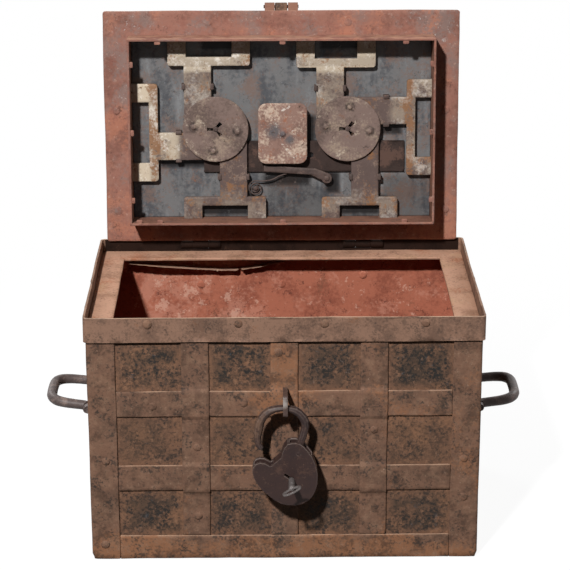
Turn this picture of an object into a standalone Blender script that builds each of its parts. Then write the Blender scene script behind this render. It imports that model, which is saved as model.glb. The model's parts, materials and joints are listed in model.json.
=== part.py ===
"""Armada chest: a strapped iron strongbox with an open lid that carries a six-bolt lock.

Metres, +Z up. The chest stands on z = 0, its front faces -Y and its middle is at x = y = 0.
The lid's pieces are drawn in the lid's own frame, whose origin is on the hinge axis:
x along the hinge, z up the lid from the hinge, -y out of the inner face towards the viewer.
On the lid, "rise" is the height above the inner face and "reach" the distance from the back edge.
"""
import math

import bmesh
import bpy
from mathutils import Matrix, Vector

# Fits
SEAT = 0.0003            # gap between pieces that touch
RUNNING = 0.0008         # gap of a drive pin in its slot
SUNK = 0.0004            # depth to which a riveted piece is let into its carrier
LAYER_GAP = 0.0004       # between the sliding layers of the lock

# Box of sheet iron under a lattice of straps
BODY_WIDTH = 0.560       # over the corner straps
BODY_DEPTH = 0.370
SHEET = 0.003
STRAP = 0.0027
STRAP_WIDTH = 0.039
CORNER_LEG = 0.041
CORNER_ROUND = 0.004
VERTICAL_PITCH = 0.127   # front and back straps, middle to middle
SIDE_PITCH = 0.108       # the two straps of each side
CROSS_BELOW = 0.0609     # cross straps' middles below and above the handles' axis
CROSS_ABOVE = 0.0535
FOOT_STRAP = 0.0365
JOGGLE_RAMP = 0.004      # length in which a strap climbs over the one below

# Rim: a flange on the walls inside an upstanding band
FLANGE_TOP = 0.353
FLANGE = 0.004
FLANGE_SIDE = 0.036
FLANGE_FRONT = 0.036
FLANGE_BACK = 0.0395
BAND_BOTTOM = 0.336
BAND_TOP = 0.372
BAND = 0.003
BAND_ROUND = 0.007

# Loosened strip of lining: places along the back wall and drops below the flange
LINING = 0.0009
LINING_WIDTH = 0.016
LINING_SAG = ((-0.236, 0.0), (-0.169, 0.0105), (-0.117, 0.0175), (-0.066, 0.0178), (0.002, 0.006),
              (0.020, 0.0))

# Hinges of the lid
LID_LEAN = math.radians(5.2)
LID_CLEAR = 0.0014       # closed lid above the flange, which leaves room for its border rivets
HINGE_RISE = 0.0085      # hinge axis above the closed lid's inner face
HINGE_SETBACK = 0.0075   # lid's back edge in front of the hinge axis
KNUCKLE = 0.0055
KNUCKLE_CLEAR = 0.001    # notches beyond a knuckle's radius
HINGE_PIN = 0.0024
LID_KNUCKLE_WIDTH = 0.024
LEAF_WIDTH = 0.060
LEAF_FOOT = 0.0075       # lower end of the leaf above the back's upper cross strap
LEAF = 0.003

# Lid
LID_WIDTH = 0.545
LID_DEPTH = 0.358
LID_SHEET = 0.0035
LID_ROUND = 0.004
LID_CROSS_REACH = (0.095, 0.262)
LID_STRAP_MARGIN = 0.004
HINGE_STRAP_MARGIN = 0.008
KEY_X = 0.0015
KEY_REACH = 0.172
KEYHOLE = 0.008
KEYHOLE_SLOT = (0.006, 0.022)

# Lock frame on the lid's inner face
FRAME_WIDTH = 0.467
FRAME_BACK = 0.035       # outer face of the back wall, from the lid's back edge
FRAME_FRONT = 0.321
FRAME_WALL = 0.0035
FRAME_RISE = 0.052
TAB = (0.009, 0.0055, 0.0025)
TAB_DROP = 0.001
TAB_INSETS = (0.0426, 0.0422, 0.0112, 0.0353)  # left, right, corner and side tabs, from the walls
LOCK_PLATE = 0.002

# Bolt works
BAR = 0.004
BAR_X = (-0.120, 0.189)
BAR_REACH = (0.110, 0.158)
BOLT = 0.007
BOLT_HEAD = 0.028
BOLT_BAR = 0.0135        # thickness of a fork's cross bar
BOLT_SETBACK = 0.002     # bolt ends inside the frame's outer face at rest
# Each fork's two side edges and the near face of its cross bar, from its rotor's centre
FRONT_LEFT_FORK = (-0.0726, 0.0535, 0.0972)
LEFT_FORK = (-0.0813, 0.0697, 0.0885)
BACK_LEFT_FORK = (-0.0769, 0.0499, 0.1063)
FRONT_RIGHT_FORK = (-0.0787, 0.0423, 0.0940)
RIGHT_FORK = (-0.0753, 0.0733, 0.0905)
BACK_RIGHT_FORK = (-0.0777, 0.0397, 0.1073)
STEM = (-0.048, -0.006)  # side edges of a stem, from the rotor's centre line
ROTOR_X = 0.1015
ROTOR_REACH = 0.1783
ROTOR_RADIUS = 0.0504
ROTOR = 0.004
ROTOR_TURN = math.radians(30)
PIN_CIRCLE = 0.034
PIN_LEAD = math.radians(6)
PIN = 0.0035
PIN_HEAD = (0.0052, 0.0026)
POST = 0.0038
POST_COLLAR = 0.0046
STAR_ARM = (0.0032, 0.0105)
GUIDE = (0.003, 0.009, 0.0025)   # lug thickness, length and lip
GUIDE_SETBACK = 0.0315           # lugs behind the cross bar

# Key cover, catch lever and its spring
COVER_SIZE = (0.075, 0.094)
COVER = 0.003
COVER_RISE = 0.020
COVER_CORNER = 0.012
PILLAR = 0.0035
PILLAR_STEP = (0.027, 0.036)
KEY_POST = 0.0035
TALON = (0.020, 0.008)
LEVER = 0.006
LEVER_PIVOT = (0.0695, 0.1003)
LEVER_EYE = 0.008
LEVER_DEPTH = 0.0095
LEVER_TIP = (-0.0275, 0.1208)
LEVER_PIN = 0.0032
CATCH = (-0.020, 0.116)  # catch pin on the lever, in the bar's slanted slot
CATCH_PIN = 0.003
CATCH_LIFT = 0.003
COIL_CENTRE = (-0.0406, 0.0850)
COIL_RADII = (0.0042, 0.0107)
COIL_TURNS = 2.5
COIL_WIRE = 0.0009
COIL_POINTS = 10         # points in each turn
SPRING_RISE = 0.0095
SPRING_TOE = 0.008       # where the arm presses the lever, along x

# Hasp
HASP_OVERHANG = 0.0035   # axis beyond the lid's front edge
HASP_RISE = 0.017        # axis above the hinge axis on the closed lid
HASP_KNUCKLE = 0.0062
HASP_PIN = 0.0026
HASP_MIDDLE = 0.0192
HASP_LUG = 0.0152
HASP_LUG_FOOT = (0.030, 0.003)
HASP_LENGTH = 0.172
HASP_WIDTH = 0.038
HASP = 0.0035
HASP_CRANK = 0.010       # blade's middle out from the axis, past the rim band
HASP_NECK = (0.0065, 0.0078, 0.040)  # outer and inner bends and the neck's end, below the axis
HASP_LAP = (0.026, 0.0005)           # blade's upper edge, and how far the neck wraps its faces
HASP_SLOT = (0.010, 0.046)
HASP_SLOT_FROM = 0.108

# Staple and padlock
STAPLE = (0.007, 0.004)  # a flat strip's width and thickness
STAPLE_X = 0.001
STAPLE_LEGS = (-0.0062, 0.0295)  # outer faces of the legs from the upper cross strap's middle
STAPLE_REACH = 0.040     # nose in front of the corner straps
STAPLE_BEND = 0.006
SHACKLE_WIRE = 0.0048    # rod's radius at the crown
SHACKLE_RADIUS = 0.032
SHACKLE_HANG = 0.0022    # bow above the staple's lower leg at its crown
PADLOCK_STAND = 0.028    # middle plane of the padlock in front of the corner straps
PADLOCK_X = -0.003
PADLOCK_DEPTH = 0.024
PADLOCK_TURN = math.radians(32)
# Points of the shackle's legs from the bow's middle, with how many times the crown's radius each is
SHACKLE_TOE = ((-0.0305, -0.0298, 0.95), (-0.0346, -0.0223, 1.0), (-0.0354, -0.0133, 1.04),
               (-0.0338, -0.0055, 1.1))
SHACKLE_HEEL = ((0.0305, -0.0035, 1.18), (0.0283, -0.0115, 1.22), (0.0252, -0.0205, 1.22),
                (0.0225, -0.0328, 1.22), (0.0218, -0.0368, 1.2))
SHACKLE_SWELL = 0.15     # sides of the bow thicker than its crown
SHACKLE_PIN = (0.0225, -0.0328)  # body's pin from the bow's middle
# The body's outline from its pin, with the toe straight in its pocket, from the notch round the right lobe
PADLOCK_OUTLINE = ((-0.0446, 0.0044), (-0.0419, 0.0043), (-0.0331, 0.0062), (-0.0239, 0.0076),
                   (-0.0197, 0.0124), (-0.0136, 0.0172), (-0.0057, 0.0203), (0.0002, 0.0183),
                   (0.0046, 0.0158), (0.0094, 0.0109), (0.0117, 0.0042), (0.0128, -0.0042),
                   (0.0133, -0.0138), (0.0119, -0.0248), (0.0086, -0.0352), (0.0041, -0.0449),
                   (-0.0020, -0.0536), (-0.0097, -0.0613), (-0.0179, -0.0664), (-0.0261, -0.0691),
                   (-0.0362, -0.0690), (-0.0459, -0.0660), (-0.0549, -0.0598), (-0.0622, -0.0529),
                   (-0.0673, -0.0425), (-0.0710, -0.0311), (-0.0737, -0.0210), (-0.0748, -0.0097),
                   (-0.0739, 0.0015), (-0.0710, 0.0106), (-0.0663, 0.0162), (-0.0598, 0.0184),
                   (-0.0537, 0.0168), (-0.0485, 0.0125), (-0.0459, 0.0076))
POCKET = 0.0125
KEY_STEM = 0.003
KEY_LENGTH = 0.049
KEY_BOW = (0.0146, 0.0092)
KEY_PLACE = (-0.0296, -0.0282)  # from the body's pin
KEY_BOW_LEAN = math.radians(26)  # bow's rise to the right
KEY_SLOT = (0.0032, 0.0125)
KEY_SLOT_LEAN = math.radians(20)
TOE_POCKET = (-0.0636, -0.040, -0.0015)  # hollow for the shackle's toe: left, right and floor from the pin
POCKET_RADIUS = 0.019            # hollow round the shackle's heel
BOW_RIM = (0.0036, 0.0032)
BOW = 0.0026
CUTTER = 0.05            # cutters' reach past the padlock
PADLOCK_PIN = 0.0024

# Drop handles
HANDLE_HEIGHT = 0.1875
HANDLE_OFF = 0.011       # axis off the strap's face
HANDLE_ROD = 0.0065
HANDLE_NECK = 0.0045     # turned ends in the eyes
HANDLE_REACH = 0.055
HANDLE_SPAN = (0.052, 0.046)
HANDLE_TILT = math.radians(6.5)
EYE_Y = 0.0645
EYE = (0.009, 0.011, 0.030)

# Rivets
RIVET = (0.0052, 0.0030)
LOW_RIVET = (0.0050, 0.0016)
# Heads on the front, along it and up from the ground
UPPER_STRAP_RIVETS = ((-0.188, -0.003), (-0.058, 0.0017))  # heights from the strap's middle
LEFT_STRAP_RIVETS = ((-0.1253, 0.175), (-0.1253, 0.0677))
CENTRE_STRAP_RIVETS = ((-0.0085, 0.319),)
RIGHT_STRAP_RIVETS = ((0.1276, 0.201),)
LEFT_CORNER_RIVETS = ((-0.256, 0.154), (-0.2604, 0.0235))
RIGHT_CORNER_RIVETS = ((0.257, 0.1555), (0.258, 0.096))
LATTICE_RIVETS = (0.030, 0.024)   # above the foot strap and above the handles' axis
BAND_FRONT_RIVETS = (-0.1925, -0.0644, 0.0563, 0.1986)
BAND_SIDE_RIVETS = (-0.12, 0.0, 0.12)
BAND_BACK_RIVETS = (-0.2, -0.04, 0.04, 0.2)
LID_FRONT_RIVETS = (-0.112, 0.102, 0.018)   # along the front border, and in from its edge
LID_SIDE_RIVETS = (0.0185, 0.048, 0.205)    # in from the side edges, and reaches
LID_STRAP_RIVETS = (0.05, 0.18, 0.31)
CLENCHED_DROPS = (0.064, 0.064, 0.049)      # inside the back wall, below the hinge axis

# Worked out from the sizes above
HALF_W = BODY_WIDTH/2
HALF_D = BODY_DEPTH/2
STAPLE_OUT = HALF_D + STAPLE_REACH
PADLOCK_OUT = HALF_D + PADLOCK_STAND
CROSS_HEIGHTS = (HANDLE_HEIGHT - CROSS_BELOW, HANDLE_HEIGHT + CROSS_ABOVE)
STAPLE_HEIGHTS = tuple(CROSS_HEIGHTS[1] + leg for leg in STAPLE_LEGS)
WALL_X = HALF_W - STRAP - SEAT
WALL_Y = HALF_D - STRAP - SEAT
WALL_TOP = FLANGE_TOP - FLANGE - SEAT
BAND_X = HALF_W + SEAT
BAND_Y = HALF_D + SEAT
HINGE_Y = BAND_Y + BAND/2
HINGE_Z = FLANGE_TOP + LID_CLEAR + HINGE_RISE
LID_INNER = -HINGE_RISE
LID_OUTER = LID_INNER + LID_SHEET
PIN_REST = (-PIN_CIRCLE*math.cos(PIN_LEAD), PIN_CIRCLE*math.sin(PIN_LEAD))
PIN_THROWN = -PIN_CIRCLE*math.cos(PIN_LEAD + ROTOR_TURN)
THROW = PIN_CIRCLE*(math.sin(PIN_LEAD + ROTOR_TURN) - math.sin(PIN_LEAD))
SLOT = PIN + RUNNING
PLATE_RISE = SEAT + LOCK_PLATE
BAR_RISE = PLATE_RISE + SEAT
BOLT_RISE = BAR_RISE + BAR + LAYER_GAP
ROTOR_RISE = BOLT_RISE + BOLT + LAYER_GAP
ROTOR_TOP = ROTOR_RISE + ROTOR
HASP_Z = HINGE_SETBACK + LID_DEPTH + HASP_OVERHANG

FACE_ANGLE = {"front": 0.0, "right": math.pi/2, "back": math.pi, "left": -math.pi/2}
IDENTITY = Matrix.Identity(4)


# Scene and small builders

def start_scene():
    for item in list(bpy.data.objects):
        bpy.data.objects.remove(item, do_unlink=True)
    groups = []
    for name in ("armada_chest", "cutters"):
        group = bpy.data.collections.new(name)
        bpy.context.scene.collection.children.link(group)
        groups.append(group)
    return groups


PARTS, CUTTERS = start_scene()


def iron(name, colour, roughness, metallic):
    finish = bpy.data.materials.new(name)
    finish.use_nodes = True
    shader = finish.node_tree.nodes["Principled BSDF"]
    shader.inputs["Base Color"].default_value = (*colour, 1.0)
    shader.inputs["Roughness"].default_value = roughness
    shader.inputs["Metallic"].default_value = metallic
    return finish


FINISH = {
    "strap": iron("rusted_iron_straps", (0.19, 0.115, 0.08), 0.75, 0.3),
    "sheet": iron("blackened_iron_sheet", (0.09, 0.075, 0.065), 0.7, 0.4),
    "rim": iron("worn_rim_iron", (0.40, 0.26, 0.17), 0.7, 0.2),
    "lid": iron("red_painted_iron", (0.34, 0.13, 0.09), 0.75, 0.0),
    "lock": iron("blued_lock_plate", (0.14, 0.15, 0.16), 0.6, 0.5),
    "bolt": iron("bare_bolt_iron", (0.42, 0.34, 0.26), 0.6, 0.5),
    "rotor": iron("brown_lock_iron", (0.25, 0.19, 0.15), 0.6, 0.5),
    "padlock": iron("dark_padlock_iron", (0.06, 0.045, 0.042), 0.5, 0.6),
    "handle": iron("dark_handle_iron", (0.13, 0.10, 0.095), 0.55, 0.6),
    "lining": iron("torn_lining_strip", (0.45, 0.33, 0.22), 0.9, 0.0),
}


def weld(mesh):
    work = bmesh.new()
    work.from_mesh(mesh)
    bmesh.ops.remove_doubles(work, verts=work.verts, dist=1e-6)
    bmesh.ops.recalc_face_normals(work, faces=work.faces)
    work.to_mesh(mesh)
    work.free()
    return mesh


def curve_mesh(curve):
    """The welded mesh of a curve, which is then removed."""
    item = bpy.data.objects.new("shape", curve)
    bpy.context.scene.collection.objects.link(item)
    bpy.context.view_layer.update()
    solid = item.evaluated_get(bpy.context.evaluated_depsgraph_get())
    mesh = bpy.data.meshes.new_from_object(solid)
    bpy.data.objects.remove(item, do_unlink=True)
    bpy.data.curves.remove(curve)
    return weld(mesh)


def outline(loops, thickness):
    """A flat outline with holes, centred on its own z = 0."""
    curve = bpy.data.curves.new("outline", "CURVE")
    curve.dimensions = "2D"
    curve.fill_mode = "BOTH"
    curve.extrude = thickness/2
    for loop in loops:
        spline = curve.splines.new("POLY")
        spline.points.add(len(loop) - 1)
        for point, place in zip(spline.points, loop):
            point.co = (place[0], place[1], 0, 1)
        spline.use_cyclic_u = True
    return curve_mesh(curve)


def tube(points, radius, widths=None, resolution=2):
    """A round rod along the points, with closed ends; widths scale its radius point by point."""
    curve = bpy.data.curves.new("rod", "CURVE")
    curve.dimensions = "3D"
    curve.bevel_depth = radius
    curve.bevel_resolution = resolution
    curve.use_fill_caps = True
    spline = curve.splines.new("POLY")
    spline.points.add(len(points) - 1)
    for index, (point, place) in enumerate(zip(spline.points, points)):
        point.co = (*place, 1)
        point.radius = widths[index] if widths else 1.0
    return curve_mesh(curve)


def solid(maker, **settings):
    work = bmesh.new()
    maker(work, **settings)
    mesh = bpy.data.meshes.new("solid")
    work.to_mesh(mesh)
    work.free()
    return mesh


def block(low, high):
    size = Vector(high) - Vector(low)
    middle = (Vector(high) + Vector(low))/2
    place = Matrix.Translation(middle) @ Matrix.Diagonal((*size, 1))
    return solid(bmesh.ops.create_cube, size=1.0, matrix=place)


def round_bar(radius, low, high, segments=16):
    """A cylinder along z between two heights."""
    return solid(bmesh.ops.create_cone, cap_ends=True, segments=segments, radius1=radius,
                 radius2=radius, depth=high - low, matrix=Matrix.Translation((0, 0, (high + low)/2)))


def dome(radius, height, base=0.0, segments=10):
    """A rivet head: the upper half of a flattened ball, closed by a flat seat."""
    work = bmesh.new()
    squash = Matrix.Translation((0, 0, base)) @ Matrix.Diagonal((radius, radius, height, 1))
    bmesh.ops.create_uvsphere(work, u_segments=segments, v_segments=6, radius=1.0)
    everything = work.verts[:] + work.edges[:] + work.faces[:]
    bmesh.ops.bisect_plane(work, geom=everything, plane_co=(0, 0, 0), plane_no=(0, 0, 1), clear_inner=True)
    bmesh.ops.holes_fill(work, edges=work.edges)
    bmesh.ops.transform(work, matrix=squash, verts=work.verts)
    bmesh.ops.recalc_face_normals(work, faces=work.faces)
    mesh = bpy.data.meshes.new("dome")
    work.to_mesh(mesh)
    work.free()
    return mesh


def gather(name, solids, collection, origin=(0, 0, 0)):
    """One object from (mesh, matrix) pairs, with its own origin."""
    work = bmesh.new()
    for mesh, place in solids:
        copy = mesh.copy()
        copy.transform(place)
        work.from_mesh(copy)
        bpy.data.meshes.remove(copy)
    mesh = bpy.data.meshes.new(name)
    work.to_mesh(mesh)
    work.free()
    mesh.transform(Matrix.Translation(-Vector(origin)))
    item = bpy.data.objects.new(name, mesh)
    item.location = origin
    collection.objects.link(item)
    return item


def piece(name, solids, finish, parent=None, origin=(0, 0, 0), smooth=False):
    item = gather(name, solids, PARTS, origin)
    item.parent = parent
    item.data.materials.append(FINISH[finish])
    if smooth:
        item.data.shade_smooth()
        item.data.set_sharp_from_angle(angle=math.radians(35))
    return item


def cut(item, solids, name):
    """Take the solids, drawn in the item's parent frame, out of the item."""
    cutter = gather(name, solids, CUTTERS)
    cutter.parent = item.parent
    cutter.hide_render = True
    cutter.display_type = "WIRE"
    change = item.modifiers.new(name, "BOOLEAN")
    change.operation = "DIFFERENCE"
    change.object = cutter


def join(item, solids, name):
    cut(item, solids, name)
    item.modifiers[name].operation = "UNION"


def pivot(name, place, turn=0.0, parent=None):
    """An empty on a joint's axis, turned about x."""
    empty = bpy.data.objects.new(name, None)
    empty.location = place
    empty.rotation_euler = (turn, 0, 0)
    empty.parent = parent
    PARTS.objects.link(empty)
    return empty


# Outlines

def arc(centre, radius, start, end, steps):
    """Points on a circle from one angle to another, in degrees."""
    turns = [math.radians(start + (end - start)*step/steps) for step in range(steps + 1)]
    return [(centre[0] + radius*math.cos(turn), centre[1] + radius*math.sin(turn)) for turn in turns]


def circle(centre, radius, steps=16):
    return arc(centre, radius, 0, 360, steps)[:-1]


def rounded(low, high, radius, steps=4):
    """A rectangle with round corners, counter-clockwise."""
    corners = ((high[0], high[1], 0), (low[0], high[1], 90), (low[0], low[1], 180), (high[0], low[1], 270))
    points = []
    for x, y, start in corners:
        inward = (x - math.copysign(radius, x - (low[0] + high[0])/2),
                  y - math.copysign(radius, y - (low[1] + high[1])/2))
        points += arc(inward, radius, start, start + 90, steps)
    return points


def rectangle(low, high):
    return [(low[0], low[1]), (high[0], low[1]), (high[0], high[1]), (low[0], high[1])]


def slot(start, end, radius, steps=8):
    """A long hole with round ends between two middle points."""
    lean = math.degrees(math.atan2(end[1] - start[1], end[0] - start[0]))
    return arc(end, radius, lean - 90, lean + 90, steps) + arc(start, radius, lean + 90, lean + 270, steps)


def keyhole():
    """Round hole with a slot below it, around the key's middle."""
    width, length = KEYHOLE_SLOT
    side = math.degrees(math.asin(width/2/KEYHOLE))
    ring = arc((KEY_X, KEY_REACH), KEYHOLE, -90 + side, 270 - side, 16)
    foot = KEY_REACH - length
    return ring + [(KEY_X - width/2, foot), (KEY_X + width/2, foot)]


# Frames that place flat outlines

def on_face(face, out=0.0):
    """Outline x, y to the face's along and height, its own z outwards."""
    turn = Matrix.Rotation(FACE_ANGLE[face], 4, "Z")
    return turn @ Matrix.Translation((0, -out, 0)) @ Matrix.Rotation(math.pi/2, 4, "X")


def across_face(face, along):
    """Outline x, y to the face's outward distance and height, its own z along the face."""
    columns = Matrix(((0, 0, -1, along), (-1, 0, 0, 0), (0, 1, 0, 0), (0, 0, 0, 1)))
    return Matrix.Rotation(FACE_ANGLE[face], 4, "Z") @ columns


def on_lid(low, high):
    """Outline x, y to the lid's x and reach, between two rises."""
    middle = LID_INNER - (low + high)/2
    return Matrix.Translation((0, middle, HINGE_SETBACK)) @ Matrix.Rotation(math.pi/2, 4, "X")


def across_lid(along):
    """Outline x, y to the lid frame's z and y, its own z along the hinge."""
    return Matrix(((0, 0, 1, along), (0, 1, 0, 0), (1, 0, 0, 0), (0, 0, 0, 1)))


def lid_point(x, reach, rise):
    place = Matrix.Translation((x, LID_INNER - rise, HINGE_SETBACK + reach))
    return place @ Matrix.Rotation(math.pi/2, 4, "X")


# Box

def make_box():
    inner_y = WALL_Y - SHEET - SEAT
    foot = SHEET + SEAT
    piece("bottom_plate", [(block((-WALL_X, -WALL_Y, 0), (WALL_X, WALL_Y, SHEET)), IDENTITY)], "sheet")
    for name, side in (("front_plate", -1), ("back_plate", 1)):
        wall = block((-WALL_X, -SHEET/2, foot), (WALL_X, SHEET/2, WALL_TOP))
        item = piece(name, [(wall, Matrix.Translation((0, side*(WALL_Y - SHEET/2), 0)))], "sheet")
    ends = [(x, HINGE_Z - drop) for x, drop in zip(strap_places("back"), CLENCHED_DROPS)]
    join(item, heads("front", SHEET - WALL_Y, ends, LOW_RIVET), "clenched_rivets")
    for name, side in (("left_plate", -1), ("right_plate", 1)):
        wall = block((-SHEET/2, -inner_y, foot), (SHEET/2, inner_y, WALL_TOP))
        piece(name, [(wall, Matrix.Translation((side*(WALL_X - SHEET/2), 0, 0)))], "sheet")


def face_size(face):
    """Half length of a face and its distance from the middle, over the straps."""
    return (HALF_W, HALF_D) if face in ("front", "back") else (HALF_D, HALF_W)


def vertical_strap(out, seat):
    """Side view of a strap that climbs over the cross straps, as outward distance and height."""
    inner, outer = out - STRAP, out
    climb = STRAP + seat
    line = [(0.0, FOOT_STRAP + seat)]
    for height in CROSS_HEIGHTS:
        low, high = height - STRAP_WIDTH/2 - SEAT, height + STRAP_WIDTH/2 + SEAT
        line += [(0.0, low - JOGGLE_RAMP), (climb, low), (climb, high), (0.0, high + JOGGLE_RAMP)]
    line.append((0.0, WALL_TOP))
    return [(outer + step, z) for step, z in line] + [(inner + step, z) for step, z in reversed(line)]


def strap_places(face):
    if face in ("front", "back"):
        return (-VERTICAL_PITCH, 0.0, VERTICAL_PITCH)
    return (-SIDE_PITCH/2, SIDE_PITCH/2)


def cross_strap(face, low, high):
    half, out = face_size(face)
    end = half - CORNER_LEG - SEAT
    return (block((-end, -out, low), (end, STRAP - out, high)), Matrix.Rotation(FACE_ANGLE[face], 4, "Z"))


def strap_bands():
    """Heights of the foot strap and the two cross straps."""
    return [(0.0, FOOT_STRAP)] + [(at - STRAP_WIDTH/2, at + STRAP_WIDTH/2) for at in CROSS_HEIGHTS]


def heads(face, out, places, size):
    """Rivet heads sunk a little into the face that carries them, at an along and a height."""
    shape = dome(*size, base=-SUNK)
    return [(shape, on_face(face, out) @ Matrix.Translation((x, z, 0))) for x, z in places]


def make_front_straps():
    """Loose straps on the front: three cross straps under three dressed verticals."""
    names = ("front_foot_strap", "front_lower_strap", "front_upper_strap")
    upper = [(x, CROSS_HEIGHTS[1] + lift) for x, lift in UPPER_STRAP_RIVETS]
    for name, (low, high), places in zip(names, strap_bands(), ((), (), upper)):
        item = piece(name, [cross_strap("front", low, high)], "strap")
        if places:
            join(item, heads("front", HALF_D, places, RIVET), f"{name}_rivets")
    shape = outline([vertical_strap(HALF_D, SEAT)], STRAP_WIDTH)
    rows = (LEFT_STRAP_RIVETS, CENTRE_STRAP_RIVETS, RIGHT_STRAP_RIVETS)
    for side, along, places in zip(("left", "centre", "right"), strap_places("front"), rows):
        name = f"front_{side}_strap"
        item = piece(name, [(shape, across_face("front", along))], "strap")
        join(item, heads("front", HALF_D, places, RIVET), f"{name}_rivets")


def make_lattices():
    """Straps of the other three walls, riveted into one lattice on each."""
    for face in ("left", "back", "right"):
        out = face_size(face)[1]
        shape = outline([vertical_strap(out + SUNK/2, -SUNK)], STRAP_WIDTH)
        item = piece(f"{face}_strap_lattice", [cross_strap(face, *band) for band in strap_bands()], "strap")
        join(item, [(shape, across_face(face, along)) for along in strap_places(face)], f"{face}_verticals")
        heights = (FOOT_STRAP + LATTICE_RIVETS[0], HANDLE_HEIGHT + LATTICE_RIVETS[1])
        places = [(along, height) for along in strap_places(face) for height in heights]
        join(item, heads(face, out, places, RIVET), f"{face}_rivets")


def make_corners():
    """Angle irons up the four corners."""
    bend = arc((-CORNER_ROUND, -CORNER_ROUND), CORNER_ROUND, 90, 0, 4)
    leg = [(-CORNER_LEG, 0.0), *bend, (0.0, -CORNER_LEG)]
    back = [(-STRAP, -CORNER_LEG), (-STRAP, -STRAP), (-CORNER_LEG, -STRAP)]
    shape = outline([leg + back], WALL_TOP)
    rivets = {"front_left_corner": LEFT_CORNER_RIVETS, "front_right_corner": RIGHT_CORNER_RIVETS}
    corners = (("back_right", 1, 1, 0), ("back_left", -1, 1, 90), ("front_left", -1, -1, 180),
               ("front_right", 1, -1, 270))
    for where, sx, sy, turn in corners:
        name = f"{where}_corner"
        spin = Matrix.Rotation(math.radians(turn), 4, "Z")
        item = piece(name, [(shape, Matrix.Translation((sx*HALF_W, sy*HALF_D, WALL_TOP/2)) @ spin)], "strap")
        if name in rivets:
            join(item, heads("front", HALF_D, rivets[name], RIVET), f"{name}_rivets")


def make_rim():
    hole = rectangle((FLANGE_SIDE - HALF_W, FLANGE_FRONT - HALF_D),
                     (HALF_W - FLANGE_SIDE, HALF_D - FLANGE_BACK))
    ring = outline([rounded((-HALF_W, -HALF_D), (HALF_W, HALF_D), BAND_ROUND - BAND), hole], FLANGE)
    piece("rim_flange", [(ring, Matrix.Translation((0, 0, FLANGE_TOP - FLANGE/2)))], "rim")
    outer = rounded((-BAND_X - BAND, -BAND_Y - BAND), (BAND_X + BAND, BAND_Y + BAND), BAND_ROUND)
    inner = rounded((-BAND_X, -BAND_Y), (BAND_X, BAND_Y), BAND_ROUND - BAND)
    band = outline([outer, inner], BAND_TOP - BAND_BOTTOM)
    item = piece("rim_band", [(band, Matrix.Translation((0, 0, (BAND_TOP + BAND_BOTTOM)/2)))], "strap")
    notches = []
    for side in (-1, 1):
        half = LEAF_WIDTH/2 + 0.001
        low = (side*VERTICAL_PITCH - half, BAND_Y - BAND, HINGE_Z - KNUCKLE - 0.001)
        high = (side*VERTICAL_PITCH + half, BAND_Y + 3*BAND, BAND_TOP + BAND)
        notches.append((block(low, high), IDENTITY))
    cut(item, notches, "hinge_notches")
    rows = {"front": BAND_FRONT_RIVETS, "left": BAND_SIDE_RIVETS, "right": BAND_SIDE_RIVETS,
            "back": BAND_BACK_RIVETS}
    solids = []
    for face, places in rows.items():
        solids += heads(face, face_size(face)[1] + SEAT + BAND, [(at, HINGE_Z) for at in places], RIVET)
    join(item, solids, "band_rivets")


def make_torn_lining():
    """A loosened strip of lining that sags behind the flange's back edge."""
    top = WALL_TOP
    upper = [(x, top - drop) for x, drop in LINING_SAG]
    lower = [(x, top - drop - LINING) for x, drop in reversed(LINING_SAG)]
    middle = WALL_Y - SHEET - SEAT - LINING_WIDTH/2
    place = Matrix.Translation((0, middle, 0)) @ Matrix.Rotation(math.pi/2, 4, "X")
    piece("torn_lining", [(outline([lower + upper], LINING_WIDTH), place)], "lining")


# Hinges

def knuckle_strap(inner, outer, end, radius, bore):
    """Ring round the origin with a strap between two heights, running along +x to the end."""
    start = math.degrees(math.asin(outer/radius))
    finish = math.degrees(math.asin(inner/radius)) + 360
    ring = arc((0, 0), radius, start, finish, 18)
    return [ring + [(end, inner), (end, outer)], circle((0, 0), bore, 12)]


def make_hinges(lid):
    bore = HINGE_PIN + SEAT
    low = LID_OUTER + SEAT
    end = HINGE_SETBACK + LID_DEPTH - HINGE_STRAP_MARGIN
    strap = outline(knuckle_strap(low, low + STRAP, end, KNUCKLE, bore), STRAP_WIDTH)
    half_gap = LID_KNUCKLE_WIDTH/2
    for name, side in (("left", -1), ("right", 1)):
        x = side*VERTICAL_PITCH
        item = piece(f"lid_hinge_strap_{name}", [(strap, across_lid(x))], "strap", lid)
        shoulders = []
        for way in (-1, 1):
            edges = sorted((x + way*half_gap, x + way*STRAP_WIDTH))
            low, high = (edges[0], -2*KNUCKLE, -2*KNUCKLE), (edges[1], 2*KNUCKLE, KNUCKLE + KNUCKLE_CLEAR)
            shoulders.append((block(low, high), IDENTITY))
        cut(item, shoulders, f"knuckle_shoulders_{name}")
        leaf = piece(f"hinge_leaf_{name}", [(hinge_leaf(bore), leaf_place(x))], "strap")
        wide = half_gap + 0.0006
        gap = block((x - wide, HINGE_Y - 2*KNUCKLE, HINGE_Z - KNUCKLE - 0.002),
                    (x + wide, HINGE_Y + 2*KNUCKLE, HINGE_Z + 2*KNUCKLE))
        cut(leaf, [(gap, IDENTITY)], f"knuckle_gap_{name}")
        place = Matrix.Translation((x, HINGE_Y, HINGE_Z)) @ Matrix.Rotation(math.pi/2, 4, "Y")
        rod = round_bar(HINGE_PIN, -LEAF_WIDTH/2 - 0.001, LEAF_WIDTH/2 + 0.001, 12)
        piece(f"hinge_pin_{name}", [(rod, place)], "strap", smooth=True)


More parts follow.
